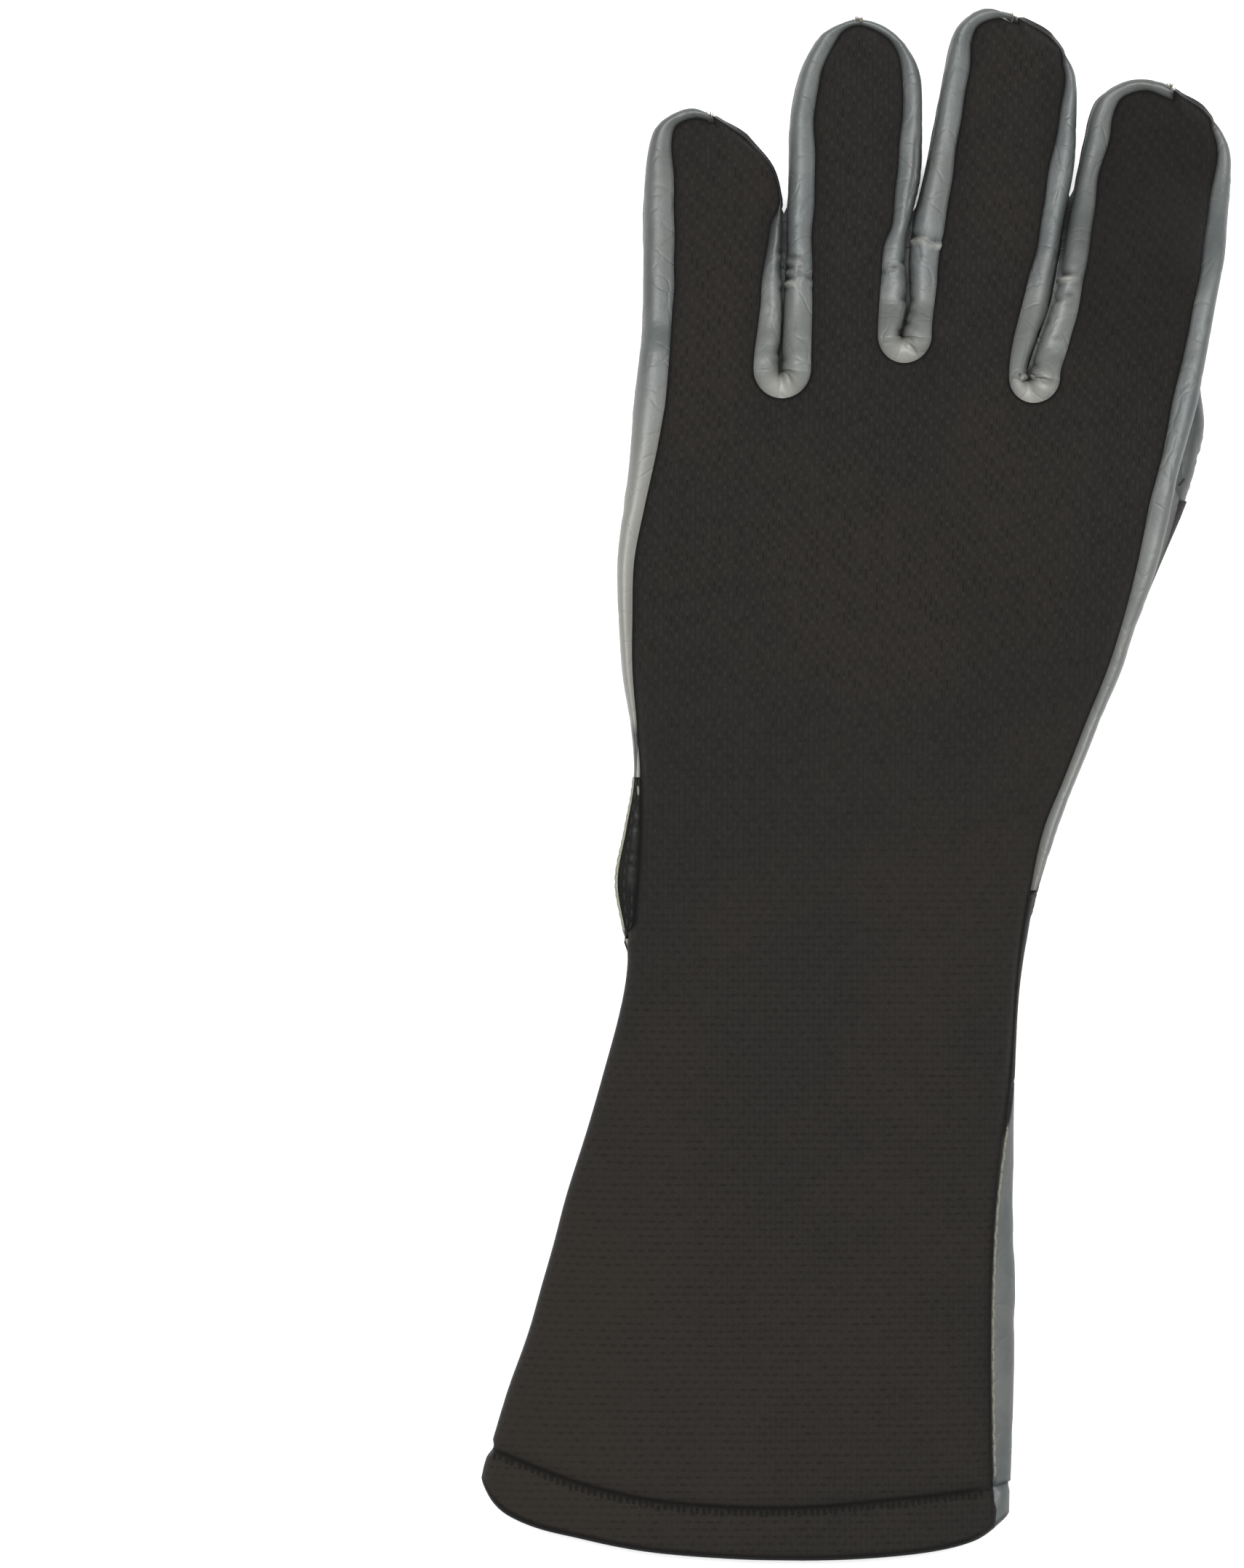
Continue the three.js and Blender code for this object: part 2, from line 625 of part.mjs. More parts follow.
// Heights of a row of the cuff between two angles given by functions of y, bent to follow the
// hem's stitched line, or, with a hemShare, lying in the hem
function cuffRow(y, from, to, shares, lifted, hemShare, puff) {
  const ease = clamp01((HEM_EASE_START_Y - y) / (HEM_EASE_START_Y - CUFF_ROW_YS.at(-1)));
  return shares.map((share) => {
    let at = y;
    for (let pass = 0; pass < HEM_PASSES; pass += 1) {
      const p = sectionRun(at, from(at), to(at), [share], CUFF, lifted, puff)[0];
      const side = palmSideShare(p, at);
      const top = hemHeights(p, true);
      const under = hemHeights(p, false);
      const stitch = lerp(top.stitch, under.stitch, side);
      const edge = lerp(top.edge, under.edge, side);
      at = hemShare === null ? lerp(y, stitch, ease * ease) : lerp(stitch, edge, hemShare);
    }
    return at;
  });
}

// 0 on the back of a section, 1 on its underside, easing through the folds
function palmSideShare(p, y) {
  const { crown } = sectionBox(y, CUFF);
  return 1 - smooth((p.z / crown - UNDERSIDE_START) / UNDERSIDE_SPAN);
}

// Angles of the long seams round the wrist and cuff section. Where a strip or a panel ends, the
// seam beside it turns round the fold, from the back to the underside or the other way.
function backLeftAngle(y) {
  const top = sectionAngle(y, column(CUFF, 'y', 'knitLeft', y), CUFF, true);
  return lerp(top, ulnarAngle(y), clamp01((FLAP_TURN_Y - y) / (FLAP_TURN_Y - FLAP_END_Y)));
}

function ulnarAngle(y) {
  return sectionAngle(y, column(ULNAR_SEAM, 'y', 'x', y), CUFF, false);
}

function backRightAngle(y) {
  return sectionAngle(y, column(CUFF, 'y', 'knitRight', y), CUFF, true);
}

function radialSeamAngle(y, name) {
  const under = sectionAngle(y, column(RADIAL_SEAM, 'y', name, y), CUFF, false);
  const turn = clamp01((SIDE_PANEL_TURN_Y - y) / (SIDE_PANEL_TURN_Y - SIDE_PANEL_END_Y));
  return lerp(under, 2 * Math.PI + backRightAngle(y), turn);
}

function palmRightAngle(y) {
  return radialSeamAngle(y, 'palm');
}

function sidePanelStartAngle(y) {
  return radialSeamAngle(y, 'knit');
}

function radialStripAngle(y) {
  if (y < RADIAL_STRIP_END_Y) return backRightAngle(y);
  return radians(column(RADIAL_STRIP_ANGLE, 'y', 'angle', y));
}

// Elastic gathers of the leather at the wrist
function gatherDepth(share, y) {
  const reach = y > GATHER_Y ? GATHER_REACH_HAND : GATHER_REACH_CUFF;
  const near = Math.exp(-(((y - GATHER_Y) / reach) ** 2));
  const slant = GATHER_SLANT * (y - GATHER_Y) / GATHER_REACH_CUFF;
  const wave = 0.5 - 0.5 * Math.cos(2 * Math.PI * GATHER_FOLDS * (share + slant));
  const fade = smooth(GATHER_EDGE_FADE * share) * smooth(GATHER_EDGE_FADE * (1 - share));
  return GATHER_DEPTH * near * wave * fade;
}

// Rows of the hand from the finger roots to the thumb's crotch
function handRows(root, isBack) {
  return HAND_ROWS.map((row, i) => {
    const left = column(HAND, 'y', isBack ? 'knitLeft' : 'left', row.y) + (isBack ? 0 : PALM_SEAM_INSET);
    const right = column(HAND, 'y', isBack ? 'knitRight' : 'right', row.y) - (isBack ? 0 : PALM_SEAM_INSET);
    const shares = easedShares(root, 1 - HAND_SPACING_LOSS * (i + 1) / HAND_ROWS.length);
    return shares.map((share, c) => {
      const y = row.y + row.ease * (root[c].y - HAND[0].y);
      const x = lerp(left, right, share);
      if (isBack) return vector(x, y, handTop(x, y));
      const atEdge = c === 0 || c === BODY_COLUMNS;
      return vector(x, y, palmLift(x, y) + (atEdge ? PALM_EDGE_RISE : 0));
    });
  });
}

const backHand = handRows(backRoot, true);
const palmHand = handRows(palmRoot, false);

// A station of the fingers' and hand's edge: the knit's seam, the widest point, the palm's seam
function edgeStation(knit, palm, outlineX, outlineY, out) {
  const side = vector(outlineX, outlineY, lerp(palm.z, knit.z, SIDE_HEIGHT_SHARE));
  return { top: seam(knit, leaning(DOWN, out), out), side, bottom: seam(palm, leaning(UP, out), out) };
}

function fingerStation(knit, palm, [outlineX, outlineY]) {
  const out = vector(outlineX - knit.x, outlineY - knit.y, 0).normalize();
  return edgeStation(knit, palm, outlineX, outlineY, out);
}

function fingerSeams(frame, backGrid, palmGrid) {
  const tip = frame.tip.map((s, c) => fingerStation(backGrid[0][c], palmGrid[0][c], s.outline));
  const side = (stations, c) => stations.slice(1).map(
    (s, i) => fingerStation(backGrid[i + 1][c], palmGrid[i + 1][c], s.outline),
  );
  return { tip, left: side(frame.left, 0), right: side(frame.right, FINGER_COLUMNS) };
}

const seams = frames.map((frame, i) => fingerSeams(frame, backFingers[i], palmFingers[i]));

// Stations down one side of the hand above the thumb's crotch
function handSeams(side) {
  const c = side < 0 ? 0 : BODY_COLUMNS;
  return backHand.map((row, i) => {
    const outlineX = column(HAND, 'y', side < 0 ? 'left' : 'right', row[c].y);
    return edgeStation(row[c], palmHand[i][c], outlineX, row[c].y, vector(side, 0, 0));
  });
}

const ulnarHand = handSeams(-1);
const radialHand = handSeams(1);

function cuffSeams(y) {
  const backLeft = sectionSeam(y, backLeftAngle(y), CUFF, false, 1);
  const backRight = sectionSeam(y, backRightAngle(y), CUFF, false, -1);
  const palmLeft = sectionSeam(y, ulnarAngle(y), CUFF, true, -1);
  const palmRight = sectionSeam(y, palmRightAngle(y), CUFF, y > GUSSET_END_Y, 1);
  const sideStart = sectionSeam(y, sidePanelStartAngle(y), CUFF, false, -1);
  const sideEnd = sectionSeam(y, 2 * Math.PI + radialStripAngle(y), CUFF, false, 1);
  return { y, backLeft, backRight, palmLeft, palmRight, sideStart, sideEnd };
}

const cuffStations = CUFF_ROW_YS.map(cuffSeams);
const crotchStation = cuffSeams(THUMB_CROTCH_Y);

// Panels
function panelFinger(grid, fingerSeam) {
  return grid.map((row, r) => row.map((p, c) => {
    if (r === 0) return panelSide(fingerSeam.tip[c]);
    if (c === 0) return panelSide(fingerSeam.left[r - 1]);
    if (c === FINGER_COLUMNS) return panelSide(fingerSeam.right[r - 1]);
    return { p };
  }));
}

function seamsOf(fingerSeam, name) {
  const pick = (list) => list.map((s) => s[name]);
  return { tip: pick(fingerSeam.tip), left: pick(fingerSeam.left), right: pick(fingerSeam.right) };
}

function rowWithEnds(points, left, right) {
  return points.map((p, c) => {
    if (c === 0) return panelSide(left);
    if (c === points.length - 1) return panelSide(right);
    return { p };
  });
}

function cuffPanelRow(y, from, to, shares, options = {}) {
  const { lifted = false, hemShare = null, puff = 0, shape = null, nudge = 0 } = options;
  const heights = cuffRow(y, from, to, shares, lifted, hemShare, puff);
  const last = shares.length - 1;
  const corners = heights.map((at, c) => {
    const [start, end] = [from(at), to(at)];
    const towards = Math.sign(end - start);
    if (c === 0) return panelSide(sectionSeam(at, start, CUFF, lifted, -towards, puff));
    if (c === last) return panelSide(sectionSeam(at, end, CUFF, lifted, towards, puff));
    const p = sectionRun(at, start, end, [shares[c]], CUFF, lifted, puff)[0];
    if (shape) p.z += shape(shares[c], at);
    return { p };
  });
  return shiftedRow(corners, nudge);
}

// Moves a row of corners along the hand
function shiftedRow(corners, dy) {
  for (const corner of corners) corner.p.y += dy;
  return corners;
}

// Last row of a panel that runs to a point at a seam where its two neighbours meet
function pointedRow(corners, tip) {
  const last = corners.length - 1;
  return corners.map((corner, i) => {
    const target = tip.p.clone().addScaledVector(tip.out, HALF_GAP * (1 - 2 * i / last));
    const inward = corner.inward ? corner.inward.clone().lerp(tip.inward, POINT_SHARE) : tip.inward;
    return { p: corner.p.clone().lerp(target, POINT_SHARE), inward };
  });
}

// Finger rows and the row of their roots
function panelFingers(grids, name) {
  const fingers = grids.map((grid, i) => panelFinger(grid, seamsOf(seams[i], name)));
  const root = fingers.flatMap((rows, i) => (i === 0 ? rows.at(-1) : rows.at(-1).slice(1)));
  return { fingers, root };
}

function backPanel() {
  const sheet = new Sheet();
  const { fingers, root } = panelFingers(backFingers, 'top');
  fingers.forEach((rows) => sheet.patch(rows));
  const hand = backHand.map((row, i) => rowWithEnds(row, ulnarHand[i].top, radialHand[i].top));
  const cuff = CUFF_ROW_YS.map((y, i) => {
    const ease = (1 - HAND_SPACING_LOSS) * (1 - smooth((i + 1) / EVEN_SPACING_ROWS));
    const nudge = i === CUFF_ROW_YS.length - 1 ? HALF_GAP : 0;
    return cuffPanelRow(y, backLeftAngle, backRightAngle, easedShares(backRoot, ease), { nudge });
  });
  sheet.patch([root, ...hand, ...cuff]);
  return sheet.geometry(KNIT_WALL);
}

function palmPanel() {
  const sheet = new Sheet();
  const { fingers, root } = panelFingers(palmFingers, 'bottom');
  fingers.forEach((rows) => sheet.patch(rows, true));
  const hand = palmHand.map((row, i) => rowWithEnds(row, ulnarHand[i].bottom, radialHand[i].bottom));
  sheet.patch([root, ...hand], true);
  const crotchRow = hand.at(-1).slice(0, WRIST_PALM_COLUMNS + 1);
  const first = crotchRow[0].p.x;
  const width = crotchRow.at(-1).p.x - first;
  const crotchShares = crotchRow.map((corner) => (corner.p.x - first) / width);
  const cuff = CUFF_ROW_YS.map((y, i) => {
    const ease = 1 - smooth((i + 1) / EVEN_SPACING_ROWS);
    const shares = crotchShares.map((share, c) => lerp(c / WRIST_PALM_COLUMNS, share, ease));
    const nudge = i === CUFF_ROW_YS.length - 1 ? HALF_GAP : 0;
    const options = { lifted: y > GUSSET_END_Y, shape: gatherDepth, nudge };
    return cuffPanelRow(y, ulnarAngle, palmRightAngle, shares, options);
  });
  sheet.patch([crotchRow, ...cuff], true);
  return sheet.geometry(LEATHER_WALL);
}

// Rolled strips
function stripSection(station) {
  const start = neighbourSide(station.top);
  const end = neighbourSide(station.bottom);
  const [a, s, b] = [start.p, station.side, end.p];
  const fullness = clamp01(Math.hypot(s.x - a.x, s.y - a.y) / STRIP_FULL_WIDTH);
  const corners = [start];
  for (let i = 1; i <= STRIP_UPPER_STEPS; i += 1) {
    const angle = (Math.PI / 2) * i / STRIP_UPPER_STEPS;
    const out = Math.sin(angle);
    const roll = STRIP_ROLL * fullness * Math.sin(2 * angle);
    corners.push({ p: vector(
      lerp(a.x, s.x, out), lerp(a.y, s.y, out), lerp(s.z, a.z, Math.cos(angle)) + roll,
    ) });
  }
  for (let i = 1; i < STRIP_LOWER_STEPS; i += 1) {
    const angle = (Math.PI / 2) * i / STRIP_LOWER_STEPS;
    const out = Math.cos(angle);
    corners.push({ p: vector(
      lerp(b.x, s.x, out), lerp(b.y, s.y, out), lerp(s.z, b.z, Math.sin(angle)),
    ) });
  }
  corners.push(end);
  return withSectionInward(corners, station.top.out);
}

// Gives the middle corners of a strip section their way in, square to the section's line
function withSectionInward(corners, out) {
  const flat = vector(out.x, out.y, 0).normalize();
  for (let i = 1; i + 1 < corners.length; i += 1) {
    const line = corners[i + 1].p.clone().sub(corners[i - 1].p);
    const [across, rise] = [line.dot(flat), line.z];
    corners[i].inward = flat.clone().multiplyScalar(rise).add(vector(0, 0, -across)).normalize();
  }
  return corners;
}

// Sections along a finger side from the notch at its tip; the end is held back by half a gap
function sideSections(index, side) {
  const fingerSeam = seams[index];
  const { notch } = FINGERS[index];
  const tip = side < 0 ? fingerSeam.tip.slice(0, notch + 1).reverse() : fingerSeam.tip.slice(notch);
  const stations = [...tip, ...(side < 0 ? fingerSeam.left : fingerSeam.right)];
  const sections = stations.map(stripSection);
  const [first, second] = sections;
  const along = second[0].p.clone().sub(first[0].p).normalize();
  along.z = 0;
  for (const corner of first) corner.p.addScaledVector(along, HALF_GAP);
  return sections;
}

function sectionsGeometry(sections, flip) {
  return new Sheet().patch(sections, flip).geometry(LEATHER_WALL);
}

function fourchette(index) {
  const down = sideSections(index, 1);
  const up = sideSections(index + 1, -1).reverse();
  return sectionsGeometry([...down, ...up.slice(1)], false);
}

function ulnarStation(c) {
  const angle = Math.max(Math.PI, lerp(backLeftAngle(c.y), ulnarAngle(c.y), FLAP_SIDE_SHARE));
  return { top: c.backLeft, side: sectionPoint(c.y, angle, CUFF, true), bottom: c.palmLeft };
}

function radialStation(c) {
  const [from, to] = [backRightAngle(c.y), radialStripAngle(c.y)];
  const side = sectionRun(c.y, from, to, [RADIAL_STRIP_SIDE_SHARE], CUFF, false)[0];
  return { top: c.backRight, side, bottom: c.sideEnd };
}

// At the thumb's crotch the radial strip leaves the palm's edge for the side panel's
function radialCrotchStation() {
  const { top } = radialHand.at(-1);
  const bottom = crotchStation.sideEnd;
  const side = top.p.clone().lerp(bottom.p, RADIAL_STRIP_SIDE_SHARE).add(vector(HALF_GAP, 0, HALF_GAP));
  return { top, side, bottom };
}

function sideStrip(side) {
  const sections = sideSections(side < 0 ? 0 : 3, side);
  const hand = side < 0 ? ulnarHand : [...radialHand.slice(0, -1), radialCrotchStation()];
  const endY = side < 0 ? FLAP_START_Y : RADIAL_STRIP_END_Y;
  const cuff = cuffStations.filter((c) => c.y >= endY).map(side < 0 ? ulnarStation : radialStation);
  const all = [...sections, ...[...hand, ...cuff].map(stripSection)];
  shiftedRow(all.at(-1), HALF_GAP);
  return sectionsGeometry(all, side < 0);
}

function ulnarSeamFlap() {
  const stations = cuffStations.filter((c) => c.y <= FLAP_START_Y && c.y > FLAP_END_Y);
  const sections = stations.map((c) => stripSection(ulnarStation(c)));
  shiftedRow(sections[0], -HALF_GAP);
  const end = cuffStations.find((c) => c.y === FLAP_END_Y);
  return sectionsGeometry([...sections, pointedRow(sections.at(-1), end.backLeft)], true);
}

// Thumb
function thumbStations() {
  const edge = (side) => THUMB.map((row) => {
    const x = side < 0 ? row.left : row.right;
    return {
      outline: [x, row.y],
      palm: [x - side * THUMB_BOTTOM_INSET, row.y],
      knit: [x - side * THUMB_TOP_INSET, row.y],
    };
  });
  const left = edge(-1);
  const right = edge(1);
  const [x, y] = THUMB_TIP;
  const tip = tipStations(left, right, THUMB_TIP, [x, y - THUMB_BOTTOM_INSET], [x, y - THUMB_TOP_INSET]);
  return { left, right, tip };
}

const thumb = thumbStations();

function thumbGrid(kind, height) {
  return flatRows(thumb, kind).map((row, r) => row.map(
    ([x, y], c) => vector(x, y, height(spreadOf(c, r === 0))),
  ));
}

const thumbTop = thumbGrid('knit', (spread) => THUMB_HEIGHT - THUMB_EDGE_DROP * spread ** 2);
const thumbBottom = thumbGrid('palm', () => 0);

function thumbSeam(station, top, bottom) {
  const out = vector(station.outline[0] - bottom.x, station.outline[1] - bottom.y, 0).normalize();
  const side = vector(station.outline[0], station.outline[1], THUMB_HEIGHT * SIDE_HEIGHT_SHARE);
  return { top: { p: top }, side, bottom: seam(bottom, UP, out) };
}

// Stations round the thumb's edge, from the root up one side, over the tip and down the other
function thumbBoundary() {
  const last = thumb.left.length - 1;
  const stations = [];
  for (let r = last; r >= 1; r -= 1) stations.push([thumb.left[r], r, 0]);
  thumb.tip.forEach((s, c) => stations.push([s, 0, c]));
  for (let r = 1; r <= last; r += 1) stations.push([thumb.right[r], r, FINGER_COLUMNS]);
  return stations.map(([s, r, c]) => ({ r, c, ...thumbSeam(s, thumbTop[r][c], thumbBottom[r][c]) }));
}

// The thumb's side wall at a station, in two quarter curves: down to the widest point and under
function thumbWall(station) {
  const end = neighbourSide(station.bottom);
  const [top, side, bottom] = [station.top.p, station.side, end.p];
  const quarter = (from, angle) => {
    const out = Math.sin(angle);
    return { p: vector(
      lerp(from.x, side.x, out), lerp(from.y, side.y, out), lerp(side.z, from.z, Math.cos(angle)),
    ) };
  };
  const angles = evenShares(THUMB_WALL_STEPS).map((share) => share * Math.PI / 2);
  const upper = angles.map((angle) => quarter(top, angle));
  const lower = angles.slice(1, -1).reverse().map((angle) => quarter(bottom, angle));
  return [...upper, ...lower, end];
}

function thumbFront() {
  const sheet = new Sheet();
  sheet.patch(thumbTop.map((row) => row.map((p) => ({ p }))));
  sheet.patch(thumbBoundary().map(thumbWall), false);
  return sheet.geometry(LEATHER_WALL);
}

function thumbBack() {
  const boundary = new Map(thumbBoundary().map((s) => [`${s.r},${s.c}`, s.bottom]));
  const rows = thumbBottom.map((row, r) => row.map((p, c) => {
    const s = boundary.get(`${r},${c}`);
    return s ? panelSide(s) : { p, inward: UP };
  }));
  return new Sheet().patch(rows, true).geometry(KNIT_WALL);
}

// Leather crescent between the palm and the knit below the thumb's crotch
function thumbGusset() {
  const rows = [crotchStation, ...cuffStations.filter((c) => c.y > GUSSET_END_Y)].map((c) => {
    const [a, b] = [neighbourSide(c.palmRight).p, neighbourSide(c.sideStart).p];
    return [{ p: a, inward: UP }, { p: a.clone().lerp(b, 0.5) }, { p: b, inward: UP }];
  });
  shiftedRow(rows[0], -SEAM_GAP);
  return new Sheet().patch(rows, true).geometry(LEATHER_WALL);
}

// Knit side panel under the thumb side of the hand, wrist and upper cuff
function sidePanel() {
  const stations = [crotchStation, ...cuffStations.filter((c) => c.y > SIDE_PANEL_END_Y)];
  const rows = stations.map((c) => {
    const start = sidePanelStartAngle(c.y);
    const end = 2 * Math.PI + radialStripAngle(c.y);
    const points = sectionRun(c.y, start, end, evenShares(SIDE_PANEL_COLUMNS), CUFF, false);
    const corners = rowWithEnds(points, c.sideStart, c.sideEnd);
    const nearStripEnd = Math.abs(c.y - RADIAL_STRIP_END_Y) < RADIAL_STRIP_END_REACH;
    if (nearStripEnd) corners.at(-1).p.addScaledVector(c.sideEnd.out, -SEAM_GAP);
    return corners;
  });
  shiftedRow(rows[0], -SEAM_GAP);
  const end = cuffStations.find((c) => c.y === SIDE_PANEL_END_Y);
  rows.push(pointedRow(rows.at(-1), end.palmRight));
  return new Sheet().patch(rows, true).geometry(KNIT_WALL);
}

// Hems
function hemRows(from, to, columns) {
  return HEM_ROWS.map(({ share, puff }) => cuffPanelRow(CUFF_ROW_YS.at(-1), from, to, evenShares(columns), {
    hemShare: share, puff, nudge: share === 0 ? -HALF_GAP : 0,
  }));
}

function backHem() {
  const rows = hemRows(backLeftAngle, backRightAngle, BODY_COLUMNS);
  return new Sheet().patch(rows).geometry(KNIT_HEM_WALL);
}

function palmHem() {
  const rows = hemRows(ulnarAngle, palmRightAngle, WRIST_PALM_COLUMNS);
  return new Sheet().patch(rows, true).geometry(LEATHER_HEM_WALL);
}

// Materials
function material(color, roughness) {
  return new THREE.MeshStandardMaterial({ color, roughness, metalness: 0 });
}

const knitFinish = () => material(0x2a2521, 0.95);
const leatherFinish = () => material(0x6f777b, 0.6);

const PIECES = [
  ['back_panel', backPanel, knitFinish],
  ['palm_panel', palmPanel, leatherFinish],
  ...CROTCHES.map(({ between }, i) => [`fourchette_${between}`, () => fourchette(i), leatherFinish]),
  ['side_strip_ulnar', () => sideStrip(-1), leatherFinish],
  ['side_strip_radial', () => sideStrip(1), leatherFinish],
  ['ulnar_seam_flap', ulnarSeamFlap, leatherFinish],
  ['thumb_front', thumbFront, leatherFinish],
  ['thumb_back', thumbBack, knitFinish],
  ['thumb_gusset', thumbGusset, leatherFinish],
  ['side_panel', sidePanel, knitFinish],
  ['back_hem', backHem, knitFinish],
  ['palm_hem', palmHem, leatherFinish],
];

const glove = new THREE.Group();
for (const [name, shape, finish] of PIECES) {
  const mesh = new THREE.Mesh(shape(), finish());
  mesh.name = name;
  glove.add(mesh);
}

export default glove;
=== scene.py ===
"""Arc flash glove for the left hand, lying palm down, seen from above.

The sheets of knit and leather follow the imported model's sections and seams, sampled finely,
with rolled seams, creases, gathers, stitches and raw edges added. Lengths are in millimetres
until a mesh is made; X points to the thumb side, Y to the fingertips, Z up.
"""
import math
from collections import namedtuple
import bpy
import numpy as np
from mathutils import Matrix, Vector, kdtree
from mathutils.bvhtree import BVHTree


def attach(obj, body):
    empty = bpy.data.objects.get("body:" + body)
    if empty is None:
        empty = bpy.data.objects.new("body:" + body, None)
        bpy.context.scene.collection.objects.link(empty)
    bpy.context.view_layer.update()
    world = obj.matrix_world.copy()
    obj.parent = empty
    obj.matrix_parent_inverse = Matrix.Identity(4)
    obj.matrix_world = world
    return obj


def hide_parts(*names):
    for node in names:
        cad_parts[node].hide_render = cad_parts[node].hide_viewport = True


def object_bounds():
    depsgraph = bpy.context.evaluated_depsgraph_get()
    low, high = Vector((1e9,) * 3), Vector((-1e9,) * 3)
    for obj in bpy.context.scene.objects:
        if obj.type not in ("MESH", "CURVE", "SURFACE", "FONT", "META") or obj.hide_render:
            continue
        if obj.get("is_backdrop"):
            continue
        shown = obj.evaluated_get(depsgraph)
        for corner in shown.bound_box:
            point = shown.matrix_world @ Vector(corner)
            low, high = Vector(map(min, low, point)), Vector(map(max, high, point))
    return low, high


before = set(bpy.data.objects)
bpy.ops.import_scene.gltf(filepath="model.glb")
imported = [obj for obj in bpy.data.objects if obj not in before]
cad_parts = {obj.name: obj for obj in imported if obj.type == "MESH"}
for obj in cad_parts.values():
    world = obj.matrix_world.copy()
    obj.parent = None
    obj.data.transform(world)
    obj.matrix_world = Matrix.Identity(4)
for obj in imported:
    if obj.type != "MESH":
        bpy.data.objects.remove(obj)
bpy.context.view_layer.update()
rng = np.random.default_rng(7)

# Sampling
FINGER_COLUMNS = 28
ARC_COLUMNS = 8
BODY_COLUMNS = 4 * FINGER_COLUMNS + 3 * ARC_COLUMNS
CROTCH_COLUMN = 3 * FINGER_COLUMNS + 5 * ARC_COLUMNS // 2
ROW_STEP = 1.15
CROTCH_STEPS = np.linspace(0, 3, 29)[1:]
HAND_ROW_COUNT = 18
LOW_CUFF_ROWS = 32
SECTION_SAMPLES = 160
TIP_SAMPLES = 40
CREASE_SPACING = 1.9
STRIP_UPPER = 14
STRIP_LOWER = 8
THUMB_ROW_COUNT = 41
THUMB_SECOND = 5
THUMB_WALL_STEPS = 8
PANEL_COLUMNS = 48
FINGER_SHARES = np.linspace(0, 1, FINGER_COLUMNS + 1)
BODY_SHARES = np.linspace(0, 1, BODY_COLUMNS + 1)
PALM_SHARES = np.linspace(0, 1, CROTCH_COLUMN + 1)

# Walls, seams and rolls
KNIT_WALL = 1.8
LEATHER_WALL = 1.2
ALLOWANCE_WALL = 0.9
HEM_WALL = 3.0
PALM_HEM_WALL = 2.2
HEM_RIM_ROUNDING = 0.42
VALLEY_DEPTH = 1.0
VALLEY_REACH = 2.1
STRIP_ROLL = 1.35
FLAP_ROLL = 0.5
STRIP_FULL_WIDTH = 3.0
STRIP_FULLNESS = 0.42
STRIP_GIRTH = 9
RADIAL_SIDE_SHARE = 0.75
ULNAR_SIDE_SHARE = 0.4
WEB_HALF_WIDTH = 0.2
PALM_SEAM_INSET = 1.9
COVER_INSET = 0.18
THUMB_PALM_INSET = 2.2
THUMB_KNIT_INSET = 3.4
RIB = 1.15
STITCH_INSET = 1.5
RAY_START = 9
ABOVE_HEM = 14

# Heights, and how far the thumb underneath lifts the palm, the back and the index finger
FINGER_TIP_HEIGHT = 10.5
FINGER_BASE_HEIGHT = 15.0
FINGER_EDGE_SHARE = 0.8
FINGER_LIFT_SHARE = 0.85
PALM_FLAT_SHARE = 0.72
PALM_EDGE_RISE = 1.2
SIDE_HEIGHT_SHARE = 0.42
UNDERSIDE_SHARE = 0.1
UNDERSIDE_FADE = 0.67
TOP_ROUNDING = 2.6
BOTTOM_ROUNDING = 6.0
CROTCH_DIP = 4.0
CROTCH_DIP_REACH = 9.0
THUMB_HEIGHT = 10.4
THUMB_EDGE_DROP = 1.4
THUMB_EDGE_RISE = 0.9
THUMB_FLAT_SHARE = 0.7
PALM_LIFT = dict(height=11.3, radius=17, fall=13)
BACK_LIFT = dict(height=7.5, radius=13, fall=38)
FINGER_LIFT = dict(height=11.3, radius=9, fall=27)

# Where things start and end along the hand
ROOT_Y = 79.6
BACK_EASE_Y = 66.0
STRIP_LEAVES_Y = 66.2
THUMB_CROTCH_Y = 59.4
GUSSET_END_Y = 4.9
FLAP_START_Y = 0.5
GATHER_Y = -23.6
STRIP_END_Y = -24.0
FLAP_TURN_Y = -31.0
FLAP_END_Y = -38.0
PANEL_TURN_Y = -60.0
PANEL_END_Y = -76.0
HEM_EASE_START_Y = -112.6
LAST_ROW_Y = -148.5
RADIAL_ALLOWANCE_END_Y = 67.0
EASE_LENGTH = 14.0
SHARES_EASE_LENGTH = 47.4

